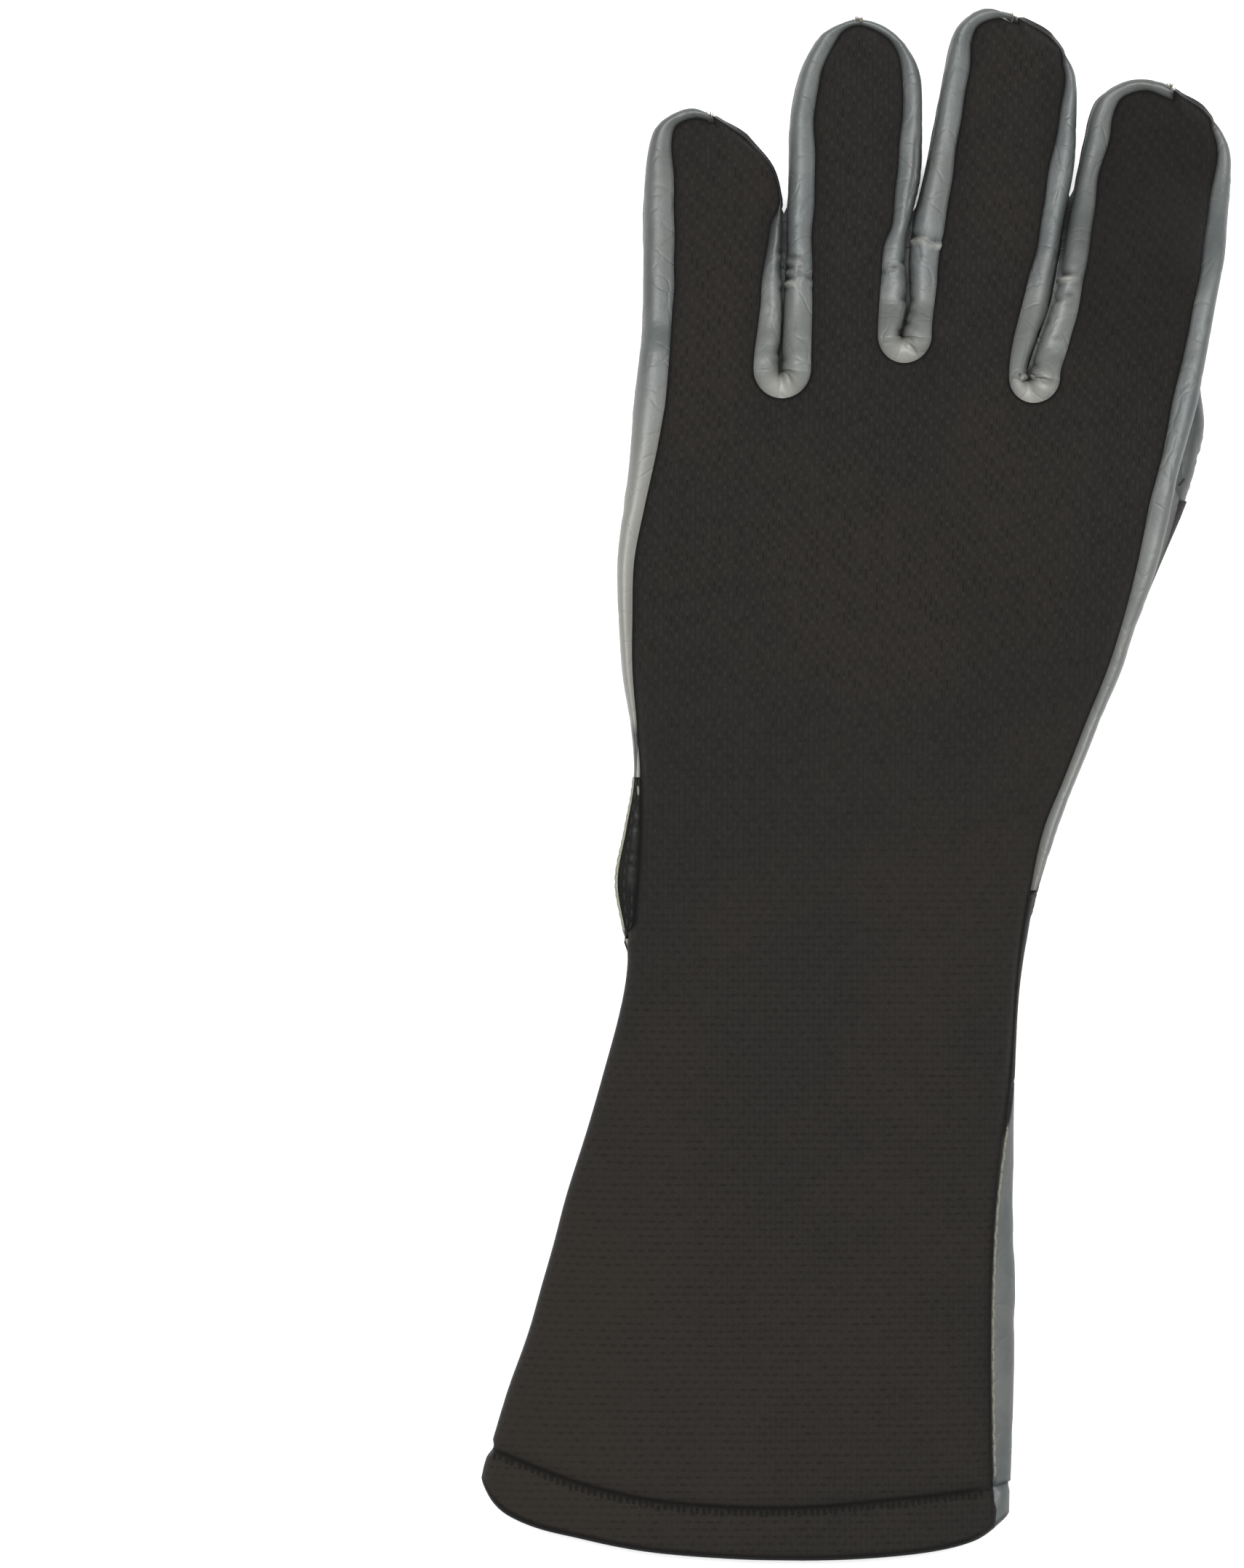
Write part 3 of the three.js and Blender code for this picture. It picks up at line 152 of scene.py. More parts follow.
# Fingers, little finger first. Rows: y, outline left, knit left, knit right, outline right.
# cover is the range of y over which the knit comes to hide the strip on the right of the tip.
FINGERS = [
    dict(notch=0.6, lift=0.0, cover=(118.5, 124.5),
         tip=[(-42.6, 140.1), (-38.5, 143.0), (-34.2, 143.9), (-27.4, 140.2)],
         knit_tip=[(-38.4, 140.1), (-34.1, 141.7), (-28.0, 139.6)], rows=[
        (136.9, -44.0, -39.4, -24.0, -22.9), (130.7, -45.0, -39.2, -19.0, -17.6),
        (121.4, -45.4, -38.8, -18.0, -15.7), (109.0, -45.4, -38.9, -19.7, -15.9),
        (98.2, -45.6, -39.4, -20.8, -15.95)]),
    dict(notch=0.5, lift=0.0, cover=None,
         tip=[(-7.4, 159.6), (-3.7, 161.8), (0.9, 163.1), (5.6, 161.7)],
         knit_tip=[(-2.8, 160.2), (0.3, 161.6), (4.6, 160.3)], rows=[
        (157.6, -9.0, -4.6, 7.9, 10.5), (151.6, -12.0, -7.4, 9.9, 13.8),
        (143.1, -13.8, -8.8, 9.9, 14.3), (130.7, -14.2, -8.8, 9.0, 14.1),
        (118.6, -14.8, -9.3, 7.5, 11.4), (114.6, -14.9, -9.4, 6.1, 10.75), (102.8, -15.2, -9.4, 5.0, 11.0)]),
    dict(notch=0.62, lift=0.3, cover=(152.5, 157.5),
         tip=[(22.0, 161.7), (25.3, 164.6), (28.5, 165.5), (32.0, 164.5), (37.4, 161.7)],
         knit_tip=[(26.2, 161.5), (31.0, 163.1), (36.0, 161.4)], rows=[
        (158.6, 20.6, 24.8, 40.6, 42.2), (152.4, 19.2, 24.2, 44.6, 46.6),
        (144.7, 17.7, 22.9, 44.0, 47.5), (130.7, 15.0, 20.8, 41.4, 46.5),
        (115.2, 11.75, 18.3, 38.8, 43.8), (102.8, 11.5, 16.8, 35.7, 41.5)]),
    dict(notch=0.68, lift=1.0, cover=(139.0, 142.5),
         tip=[(51.9, 146.2), (55.9, 149.0), (60.5, 150.1), (66.2, 149.2), (70.1, 146.2)],
         knit_tip=[(57.0, 146.1), (62.0, 147.6), (67.0, 145.9)], rows=[
        (143.1, 50.5, 55.2, 73.2, 74.7), (136.9, 49.2, 54.1, 77.0, 79.5),
        (129.2, 47.6, 51.9, 76.6, 80.4), (116.8, 45.0, 49.8, 74.1, 78.9),
        (102.8, 42.0, 47.3, 71.6, 76.3), (91.5, 38.2, 44.4, 69.2, 74.2)]),
]
# Crotches: middle, lowest point and radius of the knit, how far the slit stands off the middle,
# the top of the stretch where the fingers touch, and how far round the finger on the left goes, in
# degrees. The finger on the right goes ARC_END.
ARC_END = 60
Crotch = namedtuple("Crotch", "name x y radius slit slit_top left_end")
CROTCHES = [
    Crotch("pinky_ring", -15.9, 81.5, 6.1, -0.3, 123.5, 60),
    Crotch("ring_middle", 10.15, 89.0, 5.7, -0.3, 123.5, 60),
    Crotch("middle_index", 37.3, 80.0, 5.3, -0.85, 127.0, 42)]
# Hand and cuff rows: y, outline left, knit left, knit right, outline right, crown
HAND_ROWS = [
    (79.6, -47.6, -40.9, 66.3, 71.8, 17.0), (70.3, -48.2, -42.6, 64.6, 69.3, 17.5),
    (59.4, -49.6, -45.0, 61.8, 66.5, 17.5)]
CUFF_ROWS = [
    (59.4, -49.6, -45.0, 61.8, 70.4, 17.5), (47.0, -51.0, -47.4, 59.5, 65.1, 17.5),
    (34.6, -50.7, -47.8, 56.6, 60.2, 17.0), (23.8, -50.1, -47.8, 53.4, 56.7, 16.5),
    (11.4, -48.1, -46.8, 48.6, 51.6, 15.5), (0.5, -47.5, -46.1, 44.4, 47.4, 15.0),
    (-10.3, -49.4, -46.2, 40.1, 43.1, 14.5), (-21.9, -51.4, -46.8, 37.6, 39.6, 14.0),
    (-39.0, -48.8, -48.4, 35.0, 35.8, 14.0), (-63.0, -54.1, -53.9, 33.2, 34.1, 14.0),
    (-90.9, -62.5, -62.3, 29.8, 33.9, 14.0), (-112.6, -68.4, -68.2, 28.8, 34.2, 14.0),
    (-131.2, -74.4, -74.2, 28.8, 33.8, 14.5), (-149.0, -80.1, -79.9, 29.1, 33.2, 15.0),
    (-165.3, -83.6, -83.4, 29.4, 32.4, 15.5)]
# Palm's left edge on the underside: y, x
ULNAR_SEAM = [(59.4, -47.9), (39.9, -48.8), (17.9, -46.4), (0.5, -45.4), (-21.9, -49.4), (-38, -47.6),
              (-90.9, -40.0), (-165.3, -28.0)]
# y, palm's right edge, knit's edge on the underside
RADIAL_SEAM = [(59.4, 40.6, 41.6), (49.7, 35.2, 38.6), (39.9, 25.6, 32.4), (28.4, 20.3, 27.9),
               (17.9, 17.7, 24.0), (4.9, 17.2, 18.6), (-23.6, 12.7, 12.7), (-47.5, 23.6, 23.6),
               (-63.0, 33.2, 33.2)]
# Angle of the radial strip's lower edge round the section: y, degrees
STRIP_ANGLE = [(59.4, 18), (47.0, 7), (37.0, 0), (23.8, -6), (11.4, -10), (0.5, -12), (-10.3, -6), (-24, 11)]
# Thumb: y, left, right
THUMB_TIP = (64.2, 110.3)
THUMB_ROWS = [(104.5, 54.5, 71.2), (98.6, 50.0, 72.8), (91.5, 46.8, 73.4), (84.0, 44.9, 73.9),
              (76.5, 43.2, 74.7), (67.2, 41.7, 73.2), (59.2, 41.2, 70.4)]
THUMB_AXIS = [(61.5, 98.2), (58.0, 76.5), (54.6, 59.4)]
# x, stitched line and free edge of the hem on the back, the same on the palm side
HEM_ROWS = [
    (-81, -141.8, -148.5, -141.8, -148.5), (-74, -144.2, -156.3, -144.0, -152.8),
    (-58, -149.8, -161.0, -146.4, -155.2), (-41, -153.3, -163.9, -147.6, -156.6),
    (-15, -154.6, -165.3, -148.4, -157.2), (10, -152.7, -164.4, -148.6, -157.4),
    (25, -151.2, -161.6, -148.8, -157.2), (33, -149.6, -156.6, -149.6, -156.6)]
# Rows of the hem from its stitched line to its free edge, and how far each stands out
HEM_SHARES = np.array([0, 0.04, 0.1, 0.2, 0.32, 0.46, 0.6, 0.74, 0.86, 0.93, 0.96])[:, None]
HEM_PUFFS = np.array([0.0, 0.1, 0.3, 0.55, 0.75, 0.85, 0.85, 0.75, 0.6, 0.45, 0.35])[:, None]
# Joins where a strip is pieced
Join = namedtuple("Join", "x y tilt half pale")
JOINS = [
    Join(-14.7, 106.3, -14, 1.5, 0.75), Join(-12.3, 107.6, -28, 2.8, 0.1), Join(15.0, 114.8, -11, 3.0, 0.8),
    Join(7.9, 108.6, 24, 2.2, 0.0), Join(13.2, 112.6, -70, 1.6, 0.0), Join(44.8, 106.3, -10, 1.9, 0.75),
    Join(-14.2, 111.2, -12, 2.4, 0.1), Join(43.6, 101.5, 22, 1.8, 0.0)]
# Folds of the palm at the wrist: place, slope, half width, depth, reach to the hand and to the cuff
Fold = namedtuple("Fold", "x slope half depth up down")
FOLDS = [
    Fold(-41, -0.3, 2.0, 2.2, 9, 26), Fold(-34, -0.22, 1.5, 2.4, 14, 40), Fold(-28, -0.18, 2.1, 2.0, 8, 30),
    Fold(-21, -0.08, 1.4, 2.6, 16, 46), Fold(-14.5, 0.02, 1.9, 2.2, 10, 34), Fold(-8, 0.1, 1.4, 2.5, 15, 42),
    Fold(-2, 0.17, 1.9, 2.1, 9, 28), Fold(4, 0.26, 1.5, 2.3, 12, 36), Fold(9, 0.36, 1.6, 1.6, 8, 22)]


# Small maths
def lerp(a, b, t):
    return a + (b - a) * t


def clamp01(t):
    return np.clip(t, 0.0, 1.0)


def smooth(t):
    s = clamp01(t)
    return s * s * (3 - 2 * s)


def bell(offset, width):
    """1 in the middle, fading on both sides."""
    return np.exp(-(offset / width) ** 2)


def unit(v):
    return v / np.maximum(np.linalg.norm(v, axis=-1, keepdims=True), 1e-9)


def with_z(xy, z):
    return np.concatenate([xy, np.broadcast_to(z, xy.shape[:-1])[..., None]], -1)


def lengths_along(points):
    """Distance run along each line of points."""
    steps = np.linalg.norm(np.diff(points, axis=-2), axis=-1)
    return np.concatenate([np.zeros(steps.shape[:-1] + (1,)), np.cumsum(steps, axis=-1)], -1)


def distance_to(targets, points):
    tree = kdtree.KDTree(len(targets))
    for i, target in enumerate(targets):
        tree.insert(target, i)
    tree.balance()
    return np.array([tree.find(p)[2] for p in points])


class Curve:
    """Smooth curve through one column of a table, straight beyond its ends."""

    def __init__(self, keys, values):
        order = np.argsort(keys)
        self.k = np.asarray(keys, float)[order]
        self.v = np.asarray(values, float)[order]
        self.step = np.diff(self.v) / np.diff(self.k)
        self.m = np.concatenate([
            self.step[:1], (self.v[2:] - self.v[:-2]) / (self.k[2:] - self.k[:-2]), self.step[-1:]])

    def __call__(self, at):
        at = np.asarray(at, float)
        i = np.clip(np.searchsorted(self.k, at, side="right") - 1, 0, len(self.k) - 2)
        span = self.k[i + 1] - self.k[i]
        t = (at - self.k[i]) / span
        s = clamp01(t)
        value = lerp(self.v[i], self.v[i + 1], smooth(t))
        value = value + span * (s * (1 - s) ** 2 * self.m[i] - s * s * (1 - s) * self.m[i + 1])
        return value + (t - s) * span * self.step[i]


def curves(rows, names):
    columns = list(zip(*rows))
    return {name: Curve(columns[0], columns[i + 1]) for i, name in enumerate(names)}


SIDE_NAMES = ("left", "knit_left", "knit_right", "right")
HAND, CUFF = (curves(rows, SIDE_NAMES + ("crown",)) for rows in (HAND_ROWS, CUFF_ROWS))
ULNAR = curves(ULNAR_SEAM, ("x",))["x"]
RADIAL = curves(RADIAL_SEAM, ("palm", "knit"))
STRIP = curves(STRIP_ANGLE, ("angle",))["angle"]
HEM = curves(HEM_ROWS, ("stitch", "edge", "under_stitch", "under_edge"))
THUMB = curves(THUMB_ROWS, ("left", "right"))


# Section of the hand and cuff
def thumb_lift(x, y, height, radius, fall):
    """Rise over the thumb that lies underneath."""
    away = np.full(np.broadcast(x, y).shape, np.inf)
    for (ax, ay), (bx, by) in zip(THUMB_AXIS, THUMB_AXIS[1:]):
        dx, dy = bx - ax, by - ay
        t = clamp01(((x - ax) * dx + (y - ay) * dy) / (dx * dx + dy * dy))
        away = np.minimum(away, np.hypot(x - ax - dx * t, y - ay - dy * t))
    return height * (1 - smooth((away - radius) / fall))


def palm_lift(x, y):
    return thumb_lift(x, y, **PALM_LIFT)


def section_point(table, y, angle, lifted, puff=0.0):
    y, angle = np.broadcast_arrays(np.asarray(y, float), np.asarray(angle, float))
    left, right = table["left"](y), table["right"](y)
    cos, sin = np.cos(angle), np.sin(angle)
    power = np.where(sin >= 0, 2 / TOP_ROUNDING, 2 / BOTTOM_ROUNDING)
    x = (left + right) / 2 + (right - left) / 2 * np.sign(cos) * np.abs(cos) ** power
    bottom = palm_lift(x, y) * lifted
    top = table["crown"](y) + thumb_lift(x, y, **BACK_LIFT) + puff
    side = lerp(bottom, top, SIDE_HEIGHT_SHARE)
    z = lerp(side, np.where(sin >= 0, top, bottom), np.abs(sin) ** power)
    return np.stack([x, y, z], -1)


def section_angle(table, y, x, on_top):
    left, right = table["left"](y), table["right"](y)
    across = np.clip((x - (left + right) / 2) / ((right - left) / 2), -1, 1)
    power = (TOP_ROUNDING if on_top else BOTTOM_ROUNDING) / 2
    angle = np.arccos(np.sign(across) * np.abs(across) ** power)
    return angle if on_top else 2 * math.pi - angle


def hand_top(x, y):
    """Height of the back, easing from the hand's sections to the cuff's and dipping at the crotches."""
    hand, cuff = (section_point(t, y, section_angle(t, y, x, True), t is HAND)[..., 2] for t in (HAND, CUFF))
    dip = sum(CROTCH_DIP * bell(np.hypot(x - c.x, y - c.y), CROTCH_DIP_REACH) for c in CROTCHES)
    return lerp(hand, cuff, smooth((BACK_EASE_Y - y) / EASE_LENGTH)) - dip


# Fingers
def catmull(p0, p1, p2, p3, t):
    p0, p1, p2, p3 = (np.asarray(p, float) for p in (p0, p1, p2, p3))
    d0, d1, d2 = (np.linalg.norm(b - a) ** 0.5 for a, b in ((p0, p1), (p1, p2), (p2, p3)))
    m1 = ((p1 - p0) / d0 - (p2 - p0) / (d0 + d1) + (p2 - p1) / d1) * d1
    m2 = ((p2 - p1) / d1 - (p3 - p1) / (d1 + d2) + (p3 - p2) / d2) * d1
    t = t[:, None]
    return p1 + m1 * t + (3 * (p2 - p1) - 2 * m1 - m2) * t ** 2 + (2 * (p1 - p2) + m1 + m2) * t ** 3


def tip_arc(left, right, second, tips):
    """Arc from one side's first point over the tip's knots to the other's, in even steps."""
    knots = [left[second], left[0], *tips, right[0], right[second]]
    t = np.linspace(0, 1, TIP_SAMPLES)
    arc = np.concatenate([catmull(*knots[i:i + 4], t)[:-1] for i in range(len(knots) - 3)] + [[right[0]]])
    lengths = lengths_along(arc)
    return np.stack([np.interp(FINGER_SHARES * lengths[-1], lengths, arc[:, k]) for k in (0, 1)], -1)


def hermite_x(y, y0, y1, x0, x1, slope0, slope1):
    span = y1 - y0
    t = (y - y0) / span
    return lerp(x0, x1, t * t * (3 - 2 * t)) + span * (t * (1 - t) ** 2 * slope0 - t * t * (1 - t) * slope1)


def leave_tip(points, second, tip):
    """Bends the first rows of a side so that it leaves the tip's arc in its own direction."""
    a1, a0, far = points[second], points[0], np.asarray(tip, float)
    d0, d1 = np.linalg.norm(a0 - a1) ** 0.5, np.linalg.norm(far - a0) ** 0.5
    way = (a0 - a1) / d0 - (far - a1) / (d0 + d1) + (far - a0) / d1
    after = points[second + 1] - points[second - 1]
    y = points[: second + 1, 1]
    bent = points.copy()
    bent[: second + 1, 0] = hermite_x(y, a0[1], a1[1], a0[0], a1[0], way[0] / way[1], after[0] / after[1])
    return bent


def shaft_row_count(rows):
    return int(round((rows[0][0] - rows[-1][0]) / ROW_STEP)) + 1


def edge_lines(knit, outline, y, side):
    flat = dict(knit=knit, outline=outline, palm=outline - side * PALM_SEAM_INSET)
    return {name: np.stack([x, y], -1) for name, x in flat.items()}


def finger_sides(index, side):
    """Knit edge, outline and palm edge down one side: from the tip to the last row, then to the root."""
    rows = FINGERS[index]["rows"]
    which = "left" if side < 0 else "right"
    table = curves(rows, SIDE_NAMES)
    first_y, last_y = rows[0][0], rows[-1][0]
    y = np.linspace(first_y, last_y, shaft_row_count(rows))
    inside = smooth((first_y - y) / 6) * smooth((y - last_y) / 6)
    wander = 0.2 * inside * np.sin(y / 2.6 + 2 * index + side) * np.sin(y / 7.3 + index)
    shaft = edge_lines(table["knit_" + which](y) + wander, table[which](y), y, side)
    crotch_index = index - 1 if side < 0 else index
    if 0 <= crotch_index < len(CROTCHES):
        root = {name: into_crotch(shaft[name], name, side, CROTCHES[crotch_index]) for name in shaft}
    else:
        table = curves(rows[-2:] + [r[:5] for r in HAND_ROWS[:2]], SIDE_NAMES)
        y = lerp(last_y, ROOT_Y, CROTCH_STEPS / 3)
        root = edge_lines(table["knit_" + which](y), table[which](y), y, side)
    return {name: np.concatenate([shaft[name], root[name]]) for name in shaft}


def into_crotch(shaft, name, side, crotch):
    """An edge's straight rows from the shaft's end to the crotch's arc, then its share of the arc."""
    on_knit = name == "knit"
    radius = crotch.radius if on_knit else WEB_HALF_WIDTH + PALM_SEAM_INSET * (name == "palm")
    middle = crotch.x if on_knit else crotch.x + crotch.slit
    centre = crotch.y + crotch.radius
    (x0, y0), (x1, y1) = shaft[-2:]
    y = lerp(y1, centre, CROTCH_STEPS[CROTCH_STEPS <= 1])
    x = hermite_x(y, y1, centre, x1, middle - side * radius, (x1 - x0) / (y1 - y0), 0)
    angle = np.radians((CROTCH_STEPS[CROTCH_STEPS > 1] - 1) / 2 * (crotch.left_end if side > 0 else ARC_END))
    arc = np.stack([middle - side * radius * np.cos(angle), centre - radius * np.sin(angle)], -1)
    return np.concatenate([np.stack([x, y], -1), arc])


def finger_frame(index):
    """Sides and tip of a finger's knit, outline and palm, and the number of each of its rows."""
    finger = FINGERS[index]
    rows = finger["rows"]
    left, right = finger_sides(index, -1), finger_sides(index, 1)
    second = int(np.argmin(np.abs(left["outline"][:, 1] - rows[1][0])))
    outline = np.array(finger["tip"])
    heart = (left["outline"][second] + right["outline"][second]) / 2
    knots = {"outline": outline, "palm": outline + PALM_SEAM_INSET * unit(heart - outline),
             "knit": np.array(finger["knit_tip"])}
    for name, tips in knots.items():
        left[name] = leave_tip(left[name], second, tips[0])
        right[name] = leave_tip(right[name], second, tips[-1])
    if finger["cover"]:
        low, high = finger["cover"]
        hidden = smooth((right["knit"][:, 1] - low) / (high - low))
        right["knit"][:, 0] = lerp(right["knit"][:, 0], right["outline"][:, 0] - COVER_INSET, hidden)
    tip = {name: tip_arc(left[name], right[name], second, tips) for name, tips in knots.items()}
    if finger["cover"]:
        covered = tip["outline"] + COVER_INSET * unit(np.mean(tip["outline"], axis=0) - tip["outline"])
        tip["knit"] = lerp(tip["knit"], covered, smooth((FINGER_SHARES - finger["notch"]) / 0.05)[:, None])
    numbers = Curve([r[0] for r in rows], range(len(rows)))(left["outline"][:, 1])
    numbers[shaft_row_count(rows):] = len(rows) - 1 + CROTCH_STEPS
    return dict(finger=finger, left=left, right=right, tip=tip, second=second, numbers=numbers)


def tip_plan(left, right, second, arc):
    """Flat grid of one layer: rows easing from the tip's arc to the second row, then straight rows."""
    u = FINGER_SHARES[:, None]
    line = lerp(left[second], right[second], u)
    rows = [arc]
    for r in range(1, second):
        row = lerp(arc, line, r / second)
        rows.append(row + (1 - u) * (left[r] - row[0]) + u * (right[r] - row[-1]))
    return np.array(rows + [lerp(left[r], right[r], u) for r in range(second, len(left))])


def edge_share(numbers):
    """How near each column is to the edge, from 0 to 1; the tip's own row is all edge."""
    across = np.abs(2 * FINGER_SHARES - 1)[None, :]
    on_tip = 1 - smooth(numbers[:, None] / 0.9)
    return np.minimum(1, (across ** 3 + on_tip ** 3) ** (1 / 3))


def finger_grid(f, name):
    plan = tip_plan(f["left"][name], f["right"][name], f["second"], f["tip"][name])
    x, y = plan[..., 0], plan[..., 1]
    last = len(f["finger"]["rows"]) + 2
    row = f["numbers"][:, None]
    past_shaft = row - (last - 3)
    edge = edge_share(f["numbers"])
    lifted = f["finger"]["lift"]
    if name == "knit":
        height = lerp(FINGER_TIP_HEIGHT, FINGER_BASE_HEIGHT, row / last)
        height = height * lerp(1, FINGER_EDGE_SHARE, edge ** 2)
        z = FINGER_LIFT_SHARE * lifted * thumb_lift(x, y, **FINGER_LIFT) + height
        z = lerp(z, hand_top(x, y), smooth(past_shaft / 1.2))
    else:
        rise = np.maximum(0, edge - PALM_FLAT_SHARE) / (1 - PALM_FLAT_SHARE)
        z = lerp(lifted, 1, smooth(past_shaft / 3)) * palm_lift(x, y) + PALM_EDGE_RISE * rise ** 2
    return with_z(plan, z)


frames = [finger_frame(i) for i in range(len(FINGERS))]
back_fingers = [finger_grid(f, "knit") for f in frames]
palm_fingers = [finger_grid(f, "palm") for f in frames]


# Hand, from the finger roots to the thumb's crotch
def crotch_bottom(crotch, radius, slit):
    """Lowest part of a crotch's arc, between the ends of its two fingers."""
    angle = np.radians(np.linspace(crotch.left_end, 180 - ARC_END, ARC_COLUMNS + 1))[1:-1]
    return (crotch.x + slit - radius * np.cos(angle), crotch.y + crotch.radius - radius * np.sin(angle))


def joined_root(grids, is_back):
    parts = [grids[0][-1]]
    for crotch, grid in zip(CROTCHES, grids[1:]):
        if is_back:
            x, y = crotch_bottom(crotch, crotch.radius, 0)
            z = hand_top(x, y)
        else:
            x, y = crotch_bottom(crotch, WEB_HALF_WIDTH + PALM_SEAM_INSET, crotch.slit)
            z = palm_lift(x, y) + PALM_EDGE_RISE
        parts += [np.stack([x, y, z], -1), grid[-1]]
    return np.concatenate(parts)


def root_shares(root):
    return (root[:, 0] - root[0, 0]) / (root[-1, 0] - root[0, 0])


def hand_grid(root, is_back):
    w = np.linspace(0, 1, HAND_ROW_COUNT + 1)[1:, None]
    y = lerp(ROOT_Y, THUMB_CROTCH_Y, w) + (1 - w) ** 2.2 * (root[None, :, 1] - ROOT_Y)
    share = lerp(BODY_SHARES, root_shares(root), 1 - 0.3 * w)
    if is_back:
        x = lerp(HAND["knit_left"](y), HAND["knit_right"](y), share)
        return np.stack([x, y, hand_top(x, y)], -1)
    x = lerp(HAND["left"](y) + PALM_SEAM_INSET, HAND["right"](y) - PALM_SEAM_INSET, share)
    edge = np.maximum(0, np.abs(2 * BODY_SHARES - 1) - 0.96) / 0.04
    return np.stack([x, y, palm_lift(x, y) + PALM_EDGE_RISE * edge ** 2], -1)


back_root, palm_root = joined_root(back_fingers, True), joined_root(palm_fingers, False)
back_hand, palm_hand = hand_grid(back_root, True), hand_grid(palm_root, False)


# Long seams round the wrist and cuff, as angles of the section
def ulnar_angle(y):
    return section_angle(CUFF, y, ULNAR(y), False)


def back_left(y):
    top = section_angle(CUFF, y, CUFF["knit_left"](y), True)
    return lerp(top, ulnar_angle(y), clamp01((FLAP_TURN_Y - y) / (FLAP_TURN_Y - FLAP_END_Y)))


def back_right(y):
    return section_angle(CUFF, y, CUFF["knit_right"](y), True)


def radial_angle(y, name):
    under = section_angle(CUFF, y, RADIAL[name](y), False)
    turned = clamp01((PANEL_TURN_Y - y) / (PANEL_TURN_Y - PANEL_END_Y))
    return lerp(under, 2 * math.pi + back_right(y), turned)


def palm_right(y):
    return radial_angle(y, "palm")


def panel_start(y):
    return radial_angle(y, "knit")


def strip_angle(y):
    return np.where(y < STRIP_END_Y, back_right(y), np.radians(STRIP(y)))


def panel_end(y):
    return 2 * math.pi + strip_angle(y)


# Wrist and cuff
DOWNWARD = 1.5 * math.pi


def run_angles(y, start, end, shares, lifted):
    """Angles at shares of the way round the section of each row, sampled closely under the flat bottom."""
    t = np.linspace(0, 1, SECTION_SAMPLES + 1)
    turn = lerp(np.cbrt(start(y) - DOWNWARD)[:, None], np.cbrt(end(y) - DOWNWARD)[:, None], t)
    lengths = lengths_along(section_point(CUFF, y[:, None], DOWNWARD + turn ** 3, lifted))
    shares = np.broadcast_to(shares, (len(y), np.shape(shares)[-1]))
    reached = [np.interp(shares[r] * lengths[r, -1], lengths[r], turn[r]) for r in range(len(y))]
    return DOWNWARD + np.stack(reached) ** 3


def bent_rows(y, start, end, shares, hem_share=None, puff=0.0):
    """Points of cuff rows, bent near the mouth to follow the hem; of hem rows if hem_share is given."""
    table_y = np.arange(-96.0, -176.0, -1.0)
    table = run_angles(table_y, start, end, shares, False)
    y = np.broadcast_to(y[:, None], (len(y), len(shares)))
    at = y.copy()
    ease = clamp01((HEM_EASE_START_Y - y) / (HEM_EASE_START_Y - LAST_ROW_Y))
    for _ in range(4):
        place = np.clip(table_y[0] - at, 0, len(table_y) - 2)
        i = np.floor(place).astype(int)
        columns = np.arange(len(shares))
        p = section_point(CUFF, at, lerp(table[i, columns], table[i + 1, columns], place - i), False, puff)
        x = p[..., 0]
        under = 1 - smooth((p[..., 2] / CUFF["crown"](at) - UNDERSIDE_SHARE) / UNDERSIDE_FADE)
        stitch = lerp(HEM["stitch"](x), HEM["under_stitch"](x), under)
        edge = lerp(HEM["edge"](x), HEM["under_edge"](x), under)
        at = lerp(HEM_EASE_START_Y, stitch, ease) if hem_share is None else lerp(stitch, edge, hem_share)
    return p


def cuff_grid(start, end, crotch_shares, lifted, left, right, height):
    """Rows from below the thumb's crotch to the hem's stitched line. The first ones ease out of flat
    rows between the left and right edges, at the height of the hand."""
    y = np.arange(THUMB_CROTCH_Y - ROW_STEP, HEM_EASE_START_Y, -ROW_STEP)
    even = np.linspace(0, 1, len(crotch_shares))
    shares = lerp(even, crotch_shares, (1 - smooth((THUMB_CROTCH_Y - y) / SHARES_EASE_LENGTH))[:, None])
    parts = []
    for rows, rise in ((y > GUSSET_END_Y, lifted), (y <= GUSSET_END_Y, False)):
        angles = run_angles(y[rows], start, end, shares[rows], rise)
        parts.append(section_point(CUFF, y[rows, None], angles, rise))
    flat_y = np.broadcast_to(y[:, None], shares.shape)
    flat_x = lerp(left(flat_y), right(flat_y), shares)
    flat = np.stack([flat_x, flat_y, height(flat_x, flat_y)], -1)
    points = lerp(flat, np.concatenate(parts), smooth((THUMB_CROTCH_Y - y) / EASE_LENGTH)[:, None, None])
    low_y = np.linspace(HEM_EASE_START_Y, LAST_ROW_Y, LOW_CUFF_ROWS)
    return np.concatenate([points, bent_rows(low_y, start, end, even)])


back_cuff = cuff_grid(back_left, back_right, root_shares(back_hand[-1]), False,
                      CUFF["knit_left"], CUFF["knit_right"], hand_top)
palm_crotch = palm_hand[-1][: CROTCH_COLUMN + 1]
palm_cuff = cuff_grid(ulnar_angle, palm_right, root_shares(palm_crotch), True,
                      ULNAR, RADIAL["palm"], palm_lift)


